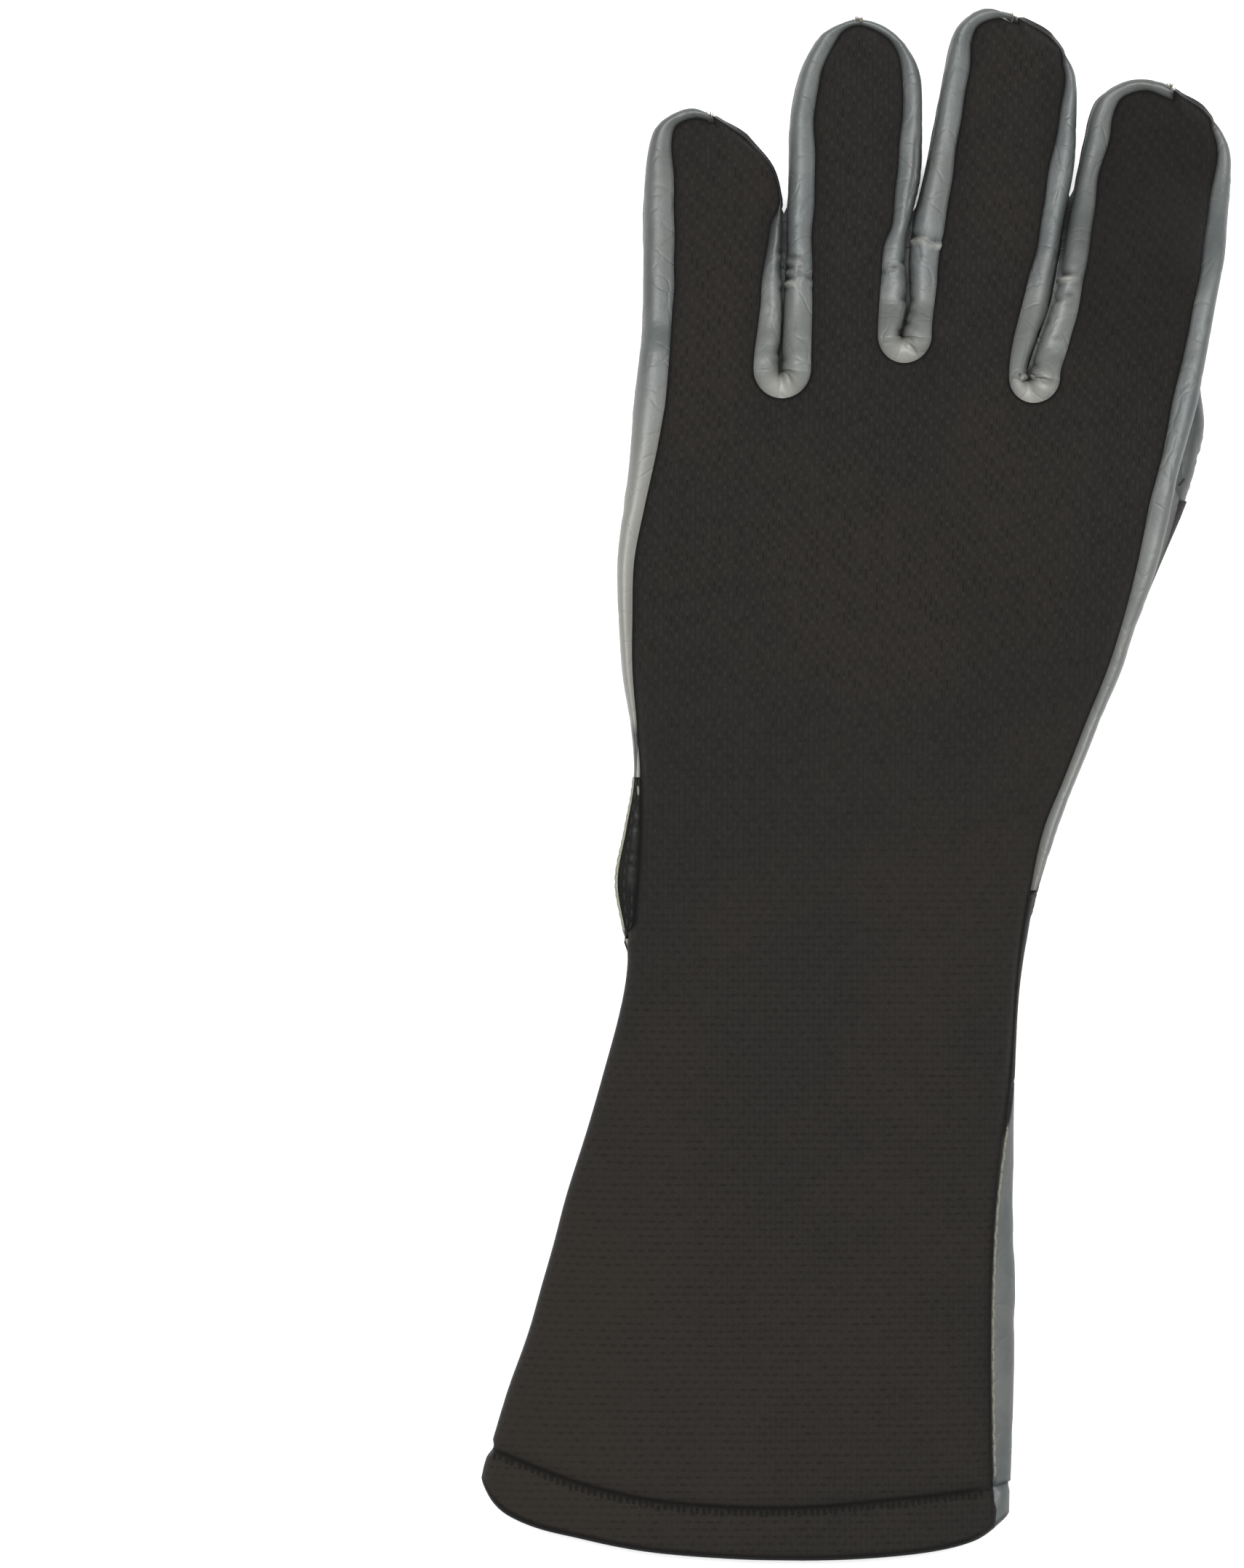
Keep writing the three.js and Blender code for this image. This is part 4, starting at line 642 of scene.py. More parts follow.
# Meshes
class Surface:
    """Grids of points welded into one sheet."""

    def __init__(self):
        self.points, self.uvs, self.quads, self.count = [], [], [], 0

    def grid(self, points, flip=False, uv=None):
        rows, columns = points.shape[:2]
        index = self.count + np.arange(rows * columns).reshape(rows, columns)
        quads = np.stack([index[:-1, :-1], index[1:, :-1], index[1:, 1:], index[:-1, 1:]], -1).reshape(-1, 4)
        self.quads.append(quads[:, ::-1] if flip else quads)
        self.points.append(points.reshape(-1, 3))
        self.uvs.append((points[..., :2] if uv is None else uv).reshape(-1, 2))
        self.count += rows * columns
        return self

    def welded(self):
        """Points, faces and each face's list of UVs, without doubled points and empty faces."""
        points, uvs = np.concatenate(self.points), np.concatenate(self.uvs)
        quads = np.concatenate(self.quads)
        _, first, same = np.unique(np.round(points, 4), axis=0, return_index=True, return_inverse=True)
        corners = same.reshape(-1)[quads]
        faces, face_uvs = [], []
        for quad, source in zip(corners.tolist(), quads.tolist()):
            kept = [k for k in range(4) if quad[k] != quad[k - 1]]
            if len(kept) > 2 and len({quad[k] for k in kept}) == len(kept):
                faces.append([quad[k] for k in kept])
                face_uvs.append([uvs[source[k]] for k in kept])
        return points[first], faces, face_uvs


def sheet_normals(points, faces):
    quads = np.array([f if len(f) == 4 else f + f[2:] for f in faces])
    n = np.cross(points[quads[:, 2]] - points[quads[:, 0]], points[quads[:, 3]] - points[quads[:, 1]])
    normals = np.zeros_like(points)
    for k in range(4):
        np.add.at(normals, quads[:, k], n)
    return unit(normals)


def border_edges(faces):
    seen = {}
    for f in faces:
        for a, b in zip(f, f[1:] + f[:1]):
            if seen.pop((b, a), None) is None:
                seen[(a, b)] = True
    return list(seen)


def new_object(name, points, faces, material, uvs=None, attributes=None, sharp=()):
    mesh = bpy.data.meshes.new(name)
    mesh.from_pydata((points / 1000).tolist(), [], faces)
    if uvs is not None:
        mesh.uv_layers.new(name="UVMap").data.foreach_set("uv", np.asarray(uvs, np.float32).ravel())
    for key, values in (attributes or {}).items():
        mesh.attributes.new(key, "FLOAT", "POINT").data.foreach_set("value", np.asarray(values, np.float32))
    mesh.polygons.foreach_set("use_smooth", [True] * len(mesh.polygons))
    if sharp:
        wanted = {frozenset(e) for e in sharp}
        flags = [frozenset(e.vertices) in wanted for e in mesh.edges]
        mesh.attributes.new("sharp_edge", "BOOLEAN", "EDGE").data.foreach_set("value", flags)
    mesh.validate()
    mesh.materials.append(material)
    obj = bpy.data.objects.new(name, mesh)
    bpy.context.collection.objects.link(obj)
    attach(obj, "root")
    return obj


def wall_object(name, surface, wall, material, nodes, shape=None, marks=None, round_rim=0.0,
                inner_shade=0.0):
    """Outer sheet, shaped, then thickened inwards and closed. Attributes: seam is the distance to the
    sheet's border, pale and dark mark worn and raw places, painted highlights and painted shade in creases.
    inner_shade paints shade on the inner side."""
    points, faces, uvs = surface.welded()
    border = border_edges(faces)
    rim = sorted({v for e in border for v in e})
    distance = distance_to(points[rim], points)
    if shape:
        points = points + shape(points, distance, sheet_normals(points, faces))
    normals = sheet_normals(points, faces)
    n = len(points)
    pale, dark = marks(points) if marks else (np.zeros(n), np.zeros(n))
    rings = [dict(zip(rim, rim))]
    all_points = [points, points - normals * wall]
    out = np.zeros_like(points)
    for a, b in border:
        for v in (a, b):
            out[v] += np.cross(points[b] - points[a], normals[v])
    for angle in (math.pi / 4, math.pi / 2, 3 * math.pi / 4) if round_rim else ():
        rings.append({v: i for i, v in enumerate(rim, sum(len(p) for p in all_points))})
        depth = wall * (1 - math.cos(angle)) / 2
        reach = wall * round_rim * math.sin(angle)
        all_points.append(points[rim] - normals[rim] * depth + unit(out)[rim] * reach)
    rings.append({v: v + n for v in rim})
    uv_at = {v: uv for f, face_uvs in zip(faces, uvs) for v, uv in zip(f, face_uvs)}
    all_faces = faces + [[v + n for v in reversed(f)] for f in faces]
    all_uvs = uvs + [face_uvs[::-1] for face_uvs in uvs]
    for a, b in border:
        for near, far in zip(rings, rings[1:]):
            all_faces.append([near[b], near[a], far[a], far[b]])
            all_uvs.append([uv_at[b], uv_at[a], uv_at[a], uv_at[b]])
    extra = np.zeros(sum(len(p) for p in all_points[2:]))
    attributes = {
        "seam": np.concatenate([distance, distance, extra]),
        "pale": np.concatenate([pale, pale * (1 - inner_shade), extra]),
        "dark": np.concatenate([dark, np.maximum(dark, inner_shade), extra])}
    sharp = () if round_rim else [e for a, b in border for e in ((a, b), (a + n, b + n))]
    obj = new_object(name, np.concatenate(all_points), all_faces, material, np.concatenate(all_uvs),
                     attributes, sharp)
    if nodes:
        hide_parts(*nodes)
    return obj


# Materials
class Nodes:
    """Short way to write node trees."""

    def __init__(self, name):
        self.material = bpy.data.materials.new(name)
        self.material.use_nodes = True
        self.tree = self.material.node_tree
        self.shader = self.tree.nodes["Principled BSDF"]

    def add(self, kind, inputs=(), **settings):
        node = self.tree.nodes.new(kind)
        for key, value in settings.items():
            setattr(node, key, value)
        for key, value in dict(inputs).items():
            self.set(node.inputs[key], value)
        return node

    def set(self, socket, value):
        if isinstance(value, bpy.types.NodeSocket):
            self.tree.links.new(value, socket)
        else:
            socket.default_value = value

    def math(self, operation, a, b=0.0, c=0.0):
        return self.add("ShaderNodeMath", {0: a, 1: b, 2: c}, operation=operation).outputs[0]

    def times(self, a, b):
        return self.math("MULTIPLY", a, b)

    def plus(self, a, b):
        return self.math("ADD", a, b)

    def minus(self, a, b):
        return self.math("SUBTRACT", a, b)

    def place(self):
        return self.add("ShaderNodeTexCoord").outputs["Object"]

    def split(self, vector):
        return self.add("ShaderNodeSeparateXYZ", {"Vector": vector}).outputs

    def attribute(self, name):
        return self.add("ShaderNodeAttribute", attribute_name=name).outputs["Fac"]

    def noise(self, vector, scale, detail=2.0, roughness=0.5, output="Fac"):
        return self.add("ShaderNodeTexNoise", {"Vector": vector, "Scale": scale, "Detail": detail,
                                               "Roughness": roughness}).outputs[output]

    def range(self, value, low, high, to_low=0.0, to_high=1.0):
        return self.add("ShaderNodeMapRange", {"Value": value, "From Min": low, "From Max": high,
                                               "To Min": to_low, "To Max": to_high},
                        interpolation_type="SMOOTHSTEP").outputs["Result"]

    def mix(self, factor, a, b, blend="MIX"):
        return self.add("ShaderNodeMix", {0: factor, 6: a, 7: b},
                        data_type="RGBA", blend_type=blend).outputs[2]

    def shade(self, colour, factor):
        """Colour times a grey factor."""
        grey = self.add("ShaderNodeCombineXYZ", dict.fromkeys("XYZ", factor)).outputs[0]
        return self.mix(1.0, colour, grey, "MULTIPLY")

    def bump(self, height, distance, strength=1.0, normal=None):
        node = self.add("ShaderNodeBump", {"Height": height, "Distance": distance, "Strength": strength})
        if normal is not None:
            self.set(node.inputs["Normal"], normal)
        return node.outputs["Normal"]

    def finish(self, **inputs):
        for key, value in inputs.items():
            self.set(self.shader.inputs[key.replace("_", " ")], value)
        return self.material


def rgb(r, g, b):
    return (r, g, b, 1.0)


def knit_material(name, light, dark, warm):
    """Ribbed knit: ribs along UV's V, broken into short staggered dashes, which lie across on the cuff."""
    m = Nodes(name)
    u, v, _ = m.split(m.add("ShaderNodeUVMap", uv_map="UVMap").outputs["UV"])
    place = m.place()
    x, y, _ = m.split(place)
    wobble = m.times(m.minus(m.noise(place, 90.0), 0.5), 0.5)

    def off_middle(value):
        return m.math("ABSOLUTE", m.minus(m.math("FRACT", value), 0.5))

    def dashes(across, along, width, period, length, shift):
        """Thin dark dashes in parallel lines, each line shifted against the one before."""
        line = m.math("DIVIDE", m.plus(across, wobble), period)
        step = m.plus(m.math("DIVIDE", along, length), m.times(m.math("FLOOR", line), shift))
        share = width / period
        in_line = m.range(off_middle(line), share, 0.4 * share)
        return m.times(in_line, m.range(off_middle(m.plus(step, wobble)), 0.42, 0.3))

    on_cuff = m.range(v, 45.0, -60.0)
    faded = m.times(on_cuff, 0.6)
    turn = m.times(m.math("FRACT", m.math("DIVIDE", m.plus(u, wobble), RIB)), math.pi)
    rib = m.math("MULTIPLY_ADD", m.math("SINE", turn), m.minus(1.0, faded), m.times(faded, 0.64))
    down = dashes(u, v, width=0.34, period=RIB, length=3.6, shift=0.37)
    across = m.times(dashes(v, u, width=0.4, period=1.55, length=2.3, shift=0.5), 0.62)
    dash = m.add("ShaderNodeMix", {0: on_cuff, 2: down, 3: across}).outputs[0]
    dash = m.times(dash, m.range(m.noise(place, 420.0), 0.3, 0.7, 0.25))
    fuzz = m.noise(place, 2600.0, 3.0, 0.7)
    speck = m.noise(place, 700.0, 2.0, 0.6)
    shade = m.math("MULTIPLY_ADD", rib, 0.42, m.math("MULTIPLY_ADD", fuzz, 0.7, m.times(speck, 0.5)))
    colour = m.mix(m.minus(shade, 0.2), dark, light)
    colour = m.mix(m.range(m.noise(place, 28.0, 3.0, 0.55), 0.35, 0.7, 0.0, 0.28), colour, warm)
    colour = m.mix(m.times(m.range(x, 0.02, -0.08, 0.0, 0.5), m.range(y, 0.0, -0.12)), colour, warm)
    colour = m.shade(colour, m.minus(1.0, m.times(dash, 0.58)))
    # Painted shade darkens the knit in the groove along its seams, but not at the cuff's right edge; painted
    # shade also darkens the index finger
    groove = m.range(m.attribute("seam"), 0.0, 1.1, 0.2)
    groove = m.math("MAXIMUM", groove, m.times(on_cuff, m.range(x, 0.022, 0.0275, 0.0, 0.75)))
    index_shade = m.times(m.range(x, 0.036, 0.05), m.range(y, 0.07, 0.105, 0.0, 0.3))
    colour = m.shade(colour, m.times(groove, m.minus(1.0, index_shade)))
    height = m.math("MULTIPLY_ADD", rib, 0.35, m.minus(0.65, m.times(dash, 0.5)))
    return m.finish(
        Base_Color=colour, Roughness=m.math("MULTIPLY_ADD", fuzz, 0.1, 0.85), Specular_IOR_Level=0.12,
        Normal=m.bump(height, 0.00022, 0.75, m.bump(fuzz, 0.0001, 0.5)),
        Sheen_Weight=0.04, Sheen_Roughness=0.5)


def leather_material(name, light, dark, warm, wrinkle=0.5, rough=0.52, specular=0.42):
    """Smooth grain leather: fine pores, soft mottling, creases; pale and dark marks from attributes."""
    m = Nodes(name)
    place = m.place()
    mottle = m.noise(place, 75.0, 4.0, 0.6)
    pores = m.add("ShaderNodeTexVoronoi", {"Vector": place, "Scale": 1500.0}, feature="F1")
    bent = m.add("ShaderNodeMixRGB", {0: 0.02, 1: place, 2: m.noise(place, 60.0, output="Color")}).outputs[0]
    crease = m.add("ShaderNodeTexVoronoi", {"Vector": bent, "Scale": 150.0}, feature="DISTANCE_TO_EDGE")
    colour = m.mix(m.range(mottle, 0.35, 0.65), dark, light)
    colour = m.mix(m.range(m.noise(place, 21.0, 3.0, 0.6), 0.45, 0.75, 0.0, 0.45), colour, warm)
    # Painted shade darkens the leather along its borders, beside the knit's groove
    colour = m.shade(colour, m.range(m.attribute("seam"), 0.0, 0.9, 0.3))
    # pale carries raw edges, paler places and painted highlights; dark carries painted shade and the knit's
    # colour where it covers a strip
    colour = m.mix(m.attribute("pale"), colour, rgb(0.135, 0.134, 0.12))
    colour = m.mix(m.attribute("dark"), colour, rgb(0.008, 0.008, 0.008))
    height = m.math("MULTIPLY_ADD", m.noise(place, 1100.0, 3.0, 0.6), 0.6,
                    m.times(pores.outputs["Distance"], 0.5))
    normal = m.bump(height, 0.00006, 0.6, m.bump(mottle, 0.0012, 0.25))
    normal = m.bump(m.range(crease.outputs["Distance"], 0.0, 0.1), 0.0001, wrinkle, normal)
    gloss = m.math("MULTIPLY_ADD", mottle, 0.16, rough - 0.08)
    return m.finish(Base_Color=colour, Roughness=gloss, Specular_IOR_Level=specular, Normal=normal)


def fibre_material(name, colour, other):
    m = Nodes(name)
    grain = m.noise(m.place(), 2400.0, 2.0, 0.6)
    return m.finish(Base_Color=m.mix(grain, colour, other), Roughness=0.9, Specular_IOR_Level=0.2,
                    Normal=m.bump(grain, 0.00008, 0.6))


knit = knit_material(
    "glove_knit", light=rgb(0.0126, 0.0112, 0.0098), dark=rgb(0.0004, 0.0004, 0.0004),
    warm=rgb(0.0142, 0.0116, 0.0088))
leather = leather_material(
    "glove_leather", light=rgb(0.058, 0.0635, 0.062), dark=rgb(0.040, 0.0455, 0.0452),
    warm=rgb(0.057, 0.053, 0.046))
palm_leather = leather_material(
    "glove_palm_leather", light=rgb(0.059, 0.063, 0.0605), dark=rgb(0.041, 0.046, 0.046),
    warm=rgb(0.076, 0.069, 0.057), wrinkle=0.8, rough=0.58)
# The flap is the strips' leather painted much darker, as painted shade
flap_leather_shaded = leather_material(
    "glove_flap_leather", light=rgb(0.005, 0.0053, 0.0047), dark=rgb(0.002, 0.0022, 0.002),
    warm=rgb(0.005, 0.0044, 0.003), wrinkle=0.6, rough=0.85, specular=0.14)
raw_edge = fibre_material("raw_leather_edge", rgb(0.15, 0.147, 0.12), rgb(0.06, 0.059, 0.048))
dark_thread = fibre_material("dark_thread", rgb(0.012, 0.012, 0.012), rgb(0.03, 0.029, 0.028))
# Near-black thread: the hem's ticks are stitches and painted shadow between the hem's puckers
hem_thread_shaded = fibre_material("hem_thread_shaded", rgb(0.0015, 0.0015, 0.0014), rgb(0.004, 0.0038, 0.0034))
flap_thread = fibre_material("flap_thread", rgb(0.013, 0.0135, 0.0125), rgb(0.007, 0.007, 0.0065))
fuzz_fibre = fibre_material("raw_fuzz", rgb(0.22, 0.21, 0.165), rgb(0.12, 0.115, 0.095))


# Shaping of the sheets
def soft_noise(points, size, seed):
    """Smooth seeded waves, about -1 to 1."""
    turn = np.random.default_rng(seed)
    value = np.zeros(len(points))
    for k in range(6):
        direction = turn.normal(size=3) / (size * (0.7 + 0.25 * k))
        value += np.sin(points @ direction * 2 * math.pi / 2.2 + turn.uniform(0, 2 * math.pi))
    return value / 3.2


def off_floor(z):
    return smooth((z - 1.5) / 3)


def valley(points, distance, normals):
    """Move into the groove along a border: straight down on top, square to the sheet at the folds."""
    size = VALLEY_DEPTH * (1 - smooth(distance / VALLEY_REACH)) * off_floor(points[:, 2])
    level = smooth((normals[:, 2] - 0.25) / 0.3)[:, None]
    return -size[:, None] * unit(lerp(normals, np.array([0.0, 0.0, 1.0]), level))


def knit_shape(points, distance, normals):
    waves = 0.22 * soft_noise(points, 26, 3) * smooth(distance / 8) * off_floor(points[:, 2])
    return normals * waves[:, None] + valley(points, distance, normals)


# Back of the glove
def body_uv(grid, centre):
    """Width unrolled from a centre column; on the fingers it stays as seen from above."""
    folded, full = lengths_along(grid[..., :1]), lengths_along(grid)
    folded, full = (run - run[:, centre:centre + 1] for run in (folded, full))
    width = lerp(folded, full, smooth((ROOT_Y - grid[..., 1]) / 40))
    return np.stack([grid[:, centre, :1] + width, grid[..., 1]], -1)


back = Surface()
for grid in back_fingers:
    back.grid(grid)
body = np.concatenate([back_root[None], back_hand, back_cuff])
back.grid(body, uv=body_uv(body, BODY_COLUMNS // 2))
wall_object("back_knit", back, KNIT_WALL, knit, ["back_panel"], knit_shape)


# Rolled seams of the fingers and hand
def grid_normals(grid, flip):
    along, across = np.gradient(grid, axis=0), np.gradient(grid, axis=1)
    return unit(np.cross(along, across)) * (-1 if flip else 1)


def side_wall(top, side, bottom, upper, lower, fullness=1.0, roll=0.0):
    """Sections from a top edge over a roll to the outline, and under to a bottom edge."""
    top, side, bottom = top[:, None], side[:, None], bottom[:, None]
    full = clamp01(np.linalg.norm((side - top)[..., :2], axis=-1) / STRIP_FULL_WIDTH)
    a = np.linspace(0, math.pi / 2, upper + 1)
    z = lerp(side[..., 2], top[..., 2], np.cos(a).clip(0) ** fullness) + roll * full * np.sin(2 * a)
    over = with_z(lerp(top[..., :2], side[..., :2], np.sin(a)[:, None]), z)
    a = np.linspace(0, math.pi / 2, lower + 1)[1:]
    under = with_z(lerp(bottom[..., :2], side[..., :2], np.cos(a)[:, None]),
                   lerp(side[..., 2], bottom[..., 2], np.sin(a)))
    return np.concatenate([over, under], 1)


def strip_grid(top, side, bottom, roll=STRIP_ROLL):
    """A rolled strip, whose top edge follows the knit down into the valley."""
    low = top - VALLEY_DEPTH * off_floor(top[:, 2:]) * [0, 0, 1]
    return side_wall(low, side, bottom, STRIP_UPPER, STRIP_LOWER, STRIP_FULLNESS, roll)


def strip_uv(grid):
    along = lengths_along(grid[:, STRIP_UPPER // 2])
    across = np.linspace(0, 1, grid.shape[1]) * STRIP_GIRTH
    return np.stack(np.broadcast_arrays(across[None, :], along[:, None]), -1)


def creased(grid, flip, seed, crotch=None, amount=1.0):
    """Presses seeded creases across a strip, deeper near a crotch, and makes its thickness uneven."""
    turn = np.random.default_rng(seed)
    uv = strip_uv(grid)
    across, along = uv[..., 0] / STRIP_GIRTH, uv[..., 1]
    total = along.max()
    depth = np.zeros(across.shape)
    for _ in range(int(total / CREASE_SPACING)):
        at = turn.uniform(0, total)
        row = grid[np.argmin(np.abs(along[:, 0] - at)), STRIP_UPPER // 2]
        close = bell(np.hypot(row[0] - crotch.x, row[1] - crotch.y - 5), 17) if crotch else 0
        size = turn.uniform(0.04, 0.15) + close * turn.uniform(0.15, 0.55)
        bend = at + turn.normal() * 2.5 * (across - 0.4)
        window = bell(across - turn.uniform(0.15, 0.6), turn.uniform(0.1, 0.3))
        depth += size * window * bell(along - bend, turn.uniform(0.35, 0.8))
    swell = 0.14 * np.sin(along / 5.3 + seed) + 0.1 * np.sin(along / 2.9 + 2 * seed)
    move = (swell * np.sin(math.pi * clamp01(across * 1.2)) - depth) * amount
    move *= np.sin(math.pi * clamp01(across * 1.05)) ** 0.5
    move *= clamp01(np.linalg.norm((grid[:, STRIP_UPPER] - grid[:, 0])[:, :2], axis=1) / 1.5)[:, None]
    return grid + grid_normals(grid, flip) * move[..., None]


def with_side(flat, top, bottom):
    """Top, outline and bottom points of an edge; the outline lies between the others' heights."""
    return top, with_z(flat, lerp(bottom[:, 2], top[:, 2], SIDE_HEIGHT_SHARE)), bottom


def finger_edge(index, side):
    """Top, outline and bottom points from the notch at a finger's tip down one side."""
    f, back_grid, palm_grid = frames[index], back_fingers[index], palm_fingers[index]
    notch = int(round(f["finger"]["notch"] * FINGER_COLUMNS))
    tip = np.arange(notch, -1, -1) if side < 0 else np.arange(notch, FINGER_COLUMNS + 1)
    column = 0 if side < 0 else FINGER_COLUMNS
    top, bottom = (np.concatenate([grid[0, tip], grid[1:, column]]) for grid in (back_grid, palm_grid))
    edge = f["left" if side < 0 else "right"]["outline"][1:]
    return with_side(np.concatenate([f["tip"]["outline"][tip], edge]), top, bottom)


def band(points, x, y, tilt, half_length, half_width):
    """1 inside a short band across a strip, fading at its borders."""
    c, s = math.cos(math.radians(tilt)), math.sin(math.radians(tilt))
    dx, dy = points[..., 0] - x, points[..., 1] - y
    along, off = dx * c + dy * s, dy * c - dx * s
    return bell(off, half_width) * (1 - smooth((np.abs(along) - half_length) / 0.9))


ring_outline = curves(FINGERS[1]["rows"], SIDE_NAMES)["right"]


def second_layer(points):
    """How far a point lies on the lower layer showing along the ring finger's right side, which is painted
    darker as painted shade.
    """
    x, y = points[:, 0], points[:, 1]
    step = x - ring_outline(y) + 1.5
    return step, smooth((139 - y) / 5) * smooth((y - 121) / 4) * (np.abs(step) < 3)


def join_shape(points, distance, normals):
    """A step along the second layer, and a ridge between two grooves at each join."""
    step, shown = second_layer(points)
    move = -0.5 * shown * bell(step, 0.35)
    for j in JOINS:
        move += 0.45 * band(points, j.x, j.y, j.tilt, j.half, 0.6)
        move -= 0.6 * band(points, j.x, j.y + 1.05, j.tilt, j.half, 0.4)
        move -= 0.22 * band(points, j.x, j.y - 1.4, j.tilt, j.half, 0.6)
    return normals * (move * smooth((points[:, 2] - 4) / 3))[:, None]


def join_marks(points):
    """Pale bands at the joins, paler below y 109, and a painted highlight at each crotch's bottom; painted
    shade in the groove beside each join, on the second layer and down the little finger's right strip,
    darker towards its tip; dark where the knit covers the strips.
    """
    x, y, z = points.T
    pale, dark = 0.25 * smooth((109 - y) / 7), np.zeros(len(points))
    for j in JOINS:
        pale = np.maximum(pale, 1.5 * j.pale * band(points, j.x, j.y, j.tilt, j.half, 0.42))
        dark = np.maximum(dark, 0.7 * band(points, j.x, j.y + 0.95, j.tilt, j.half, 0.3))
    # Painted highlight at the bottom of each crotch
    for c in CROTCHES:
        pale = np.maximum(pale, 0.95 * bell(np.hypot(x - c.x, y - c.y - 2.2), 4.8))
    step, shown = second_layer(points)
    dark = np.maximum(dark, 0.6 * shown * smooth((step + 0.3) / 0.5))
    high = smooth((z - 4) / 3)
    # Painted shade down the little finger's right strip; covered paints the knit's colour where the knit
    # hides a strip
    dark = np.maximum(dark * high, 0.7 * smooth((y - 104) / 14) * (x < -15.5) * (y > 100))
    covered = smooth((y - 152) / 3) * (x > 36) + smooth((y - 118.5) / 4) * (x < -15.5)
    return pale * high, np.maximum(dark, 0.85 * covered * (z > 4))


def strip_object(name, grid, flip, node, material=leather, shape=None, marks=None):
    surface = Surface().grid(grid, flip, strip_uv(grid))
    return wall_object(name, surface, LEATHER_WALL, material, [node], shape, marks)


def chain(*parts):
    return [np.concatenate(lists) for lists in zip(*parts)]


Seam = namedtuple("Seam", "name side bottom crotch")
edges = {(i, side): finger_edge(i, side) for i in range(len(FINGERS)) for side in (-1, 1)}
seams = []
for i, crotch in enumerate(CROTCHES):
    start = (i + 1) * (FINGER_COLUMNS + ARC_COLUMNS) - ARC_COLUMNS + 1
    arc = slice(start, start + ARC_COLUMNS - 1)
    arc_flat = np.stack(crotch_bottom(crotch, WEB_HALF_WIDTH, crotch.slit), -1)
    turn = with_side(arc_flat, back_root[arc], palm_root[arc])
    top, side, bottom = chain(edges[(i, 1)], turn, [line[::-1] for line in edges[(i + 1, -1)]])
    seams.append(Seam(crotch.name, side, bottom, crotch))
    grid = creased(strip_grid(top, side, bottom), False, 11 + i, crotch)
    strip_object("rolled_" + crotch.name, grid, False, "fourchette_" + crotch.name,
                 shape=join_shape, marks=join_marks)


def hand_edge(side):
    """Stations from the finger root to the thumb's crotch."""
    column = 0 if side < 0 else BODY_COLUMNS
    y = back_hand[:, column, 1]
    flat = np.stack([HAND["left" if side < 0 else "right"](y), y], -1)
    top, middle, bottom = with_side(flat, back_hand[:, column], palm_hand[:, column])
    if side > 0:
        leave = smooth((STRIP_LEAVES_Y - y) / (STRIP_LEAVES_Y - THUMB_CROTCH_Y))[:, None]
        low = section_point(CUFF, y, strip_angle(y), False)
        bottom = lerp(bottom, low, leave)
        middle = lerp(middle, lerp(top, low, RADIAL_SIDE_SHARE) + [0.15, 0, 0.15], leave)
    return top, middle, bottom


cuff_y = back_cuff[:, 0, 1]


def rows_between(low, high):
    return np.nonzero((cuff_y > low) & (cuff_y < high))[0]


def ulnar_edge(rows):
    y = cuff_y[rows]
    angle = np.maximum(math.pi, lerp(back_left(y), ulnar_angle(y), ULNAR_SIDE_SHARE))
    return back_cuff[rows, 0], section_point(CUFF, y, angle, True), palm_cuff[rows, 0]


def radial_edge(rows):
    y = cuff_y[rows]
    angles = run_angles(y, back_right, strip_angle, [0.0, RADIAL_SIDE_SHARE, 1.0], False)
    points = section_point(CUFF, y[:, None], angles, False)
    return back_cuff[rows, -1], points[:, 1], points[:, 2]


def ulnar_marks(points):
    """Paler towards the wrist, where the strip ends as a thin pale line; dark beside that line, as the
    knit's colour on its inner side and as painted shadow on its outer side.
    """
    x, y = points[:, 0], points[:, 1]
    tail = smooth((13.5 - y) / 5)
    line = -46.0 - 0.64 * clamp01((8.5 - y) / 8)
    off_line = tail * smooth((np.abs(x - line) - 0.3) / 0.3)
    return 0.95 * smooth((100 - y) / 55) * (1 - off_line), 0.8 * off_line


def radial_marks(points):
    """Worn a little paler towards the wrist, and dark where the knit covers it at the tip."""
    x, y, z = points.T
    return 0.35 * smooth((75 - y) / 40), 0.85 * smooth((y - 138.5) / 3) * (x > 60) * (z > 4)


def flap_marks(points):
    # Painted highlight along a fold ridge of the flap, in streaks, between y -24 and 1
    x, y = points[:, 0], points[:, 1]
    share = (CUFF["knit_left"](y) - x) / (CUFF["knit_left"](y) - CUFF["left"](y))
    ridge_highlight = bell(share - 0.3, 0.14) * (0.5 + 0.5 * np.sin(y * 1.9 + 3 * np.sin(y * 0.7)))
    return 0.2 * ridge_highlight * smooth((1 - y) / 4) * smooth((y + 24) / 6), 0 * y


ulnar = chain(edges[(0, -1)], hand_edge(-1), ulnar_edge(rows_between(FLAP_START_Y, THUMB_CROTCH_Y)))
radial = chain(edges[(3, 1)], hand_edge(1), radial_edge(rows_between(STRIP_END_Y, THUMB_CROTCH_Y)))
flap = ulnar_edge(rows_between(FLAP_END_Y, FLAP_START_Y + ROW_STEP))
strip_object("strip_ulnar", creased(strip_grid(*ulnar), True, 31, amount=0.6), True, "side_strip_ulnar",
             marks=ulnar_marks)
strip_object("strip_radial", creased(strip_grid(*radial), False, 37, amount=0.6), False, "side_strip_radial",
             marks=radial_marks)
flap_object = strip_object("seam_flap", strip_grid(*flap, roll=FLAP_ROLL), True, "ulnar_seam_flap",
                           flap_leather_shaded, marks=flap_marks)
seams += [Seam("ulnar", ulnar[1], ulnar[2], None), Seam("radial", radial[1], radial[2], None)]


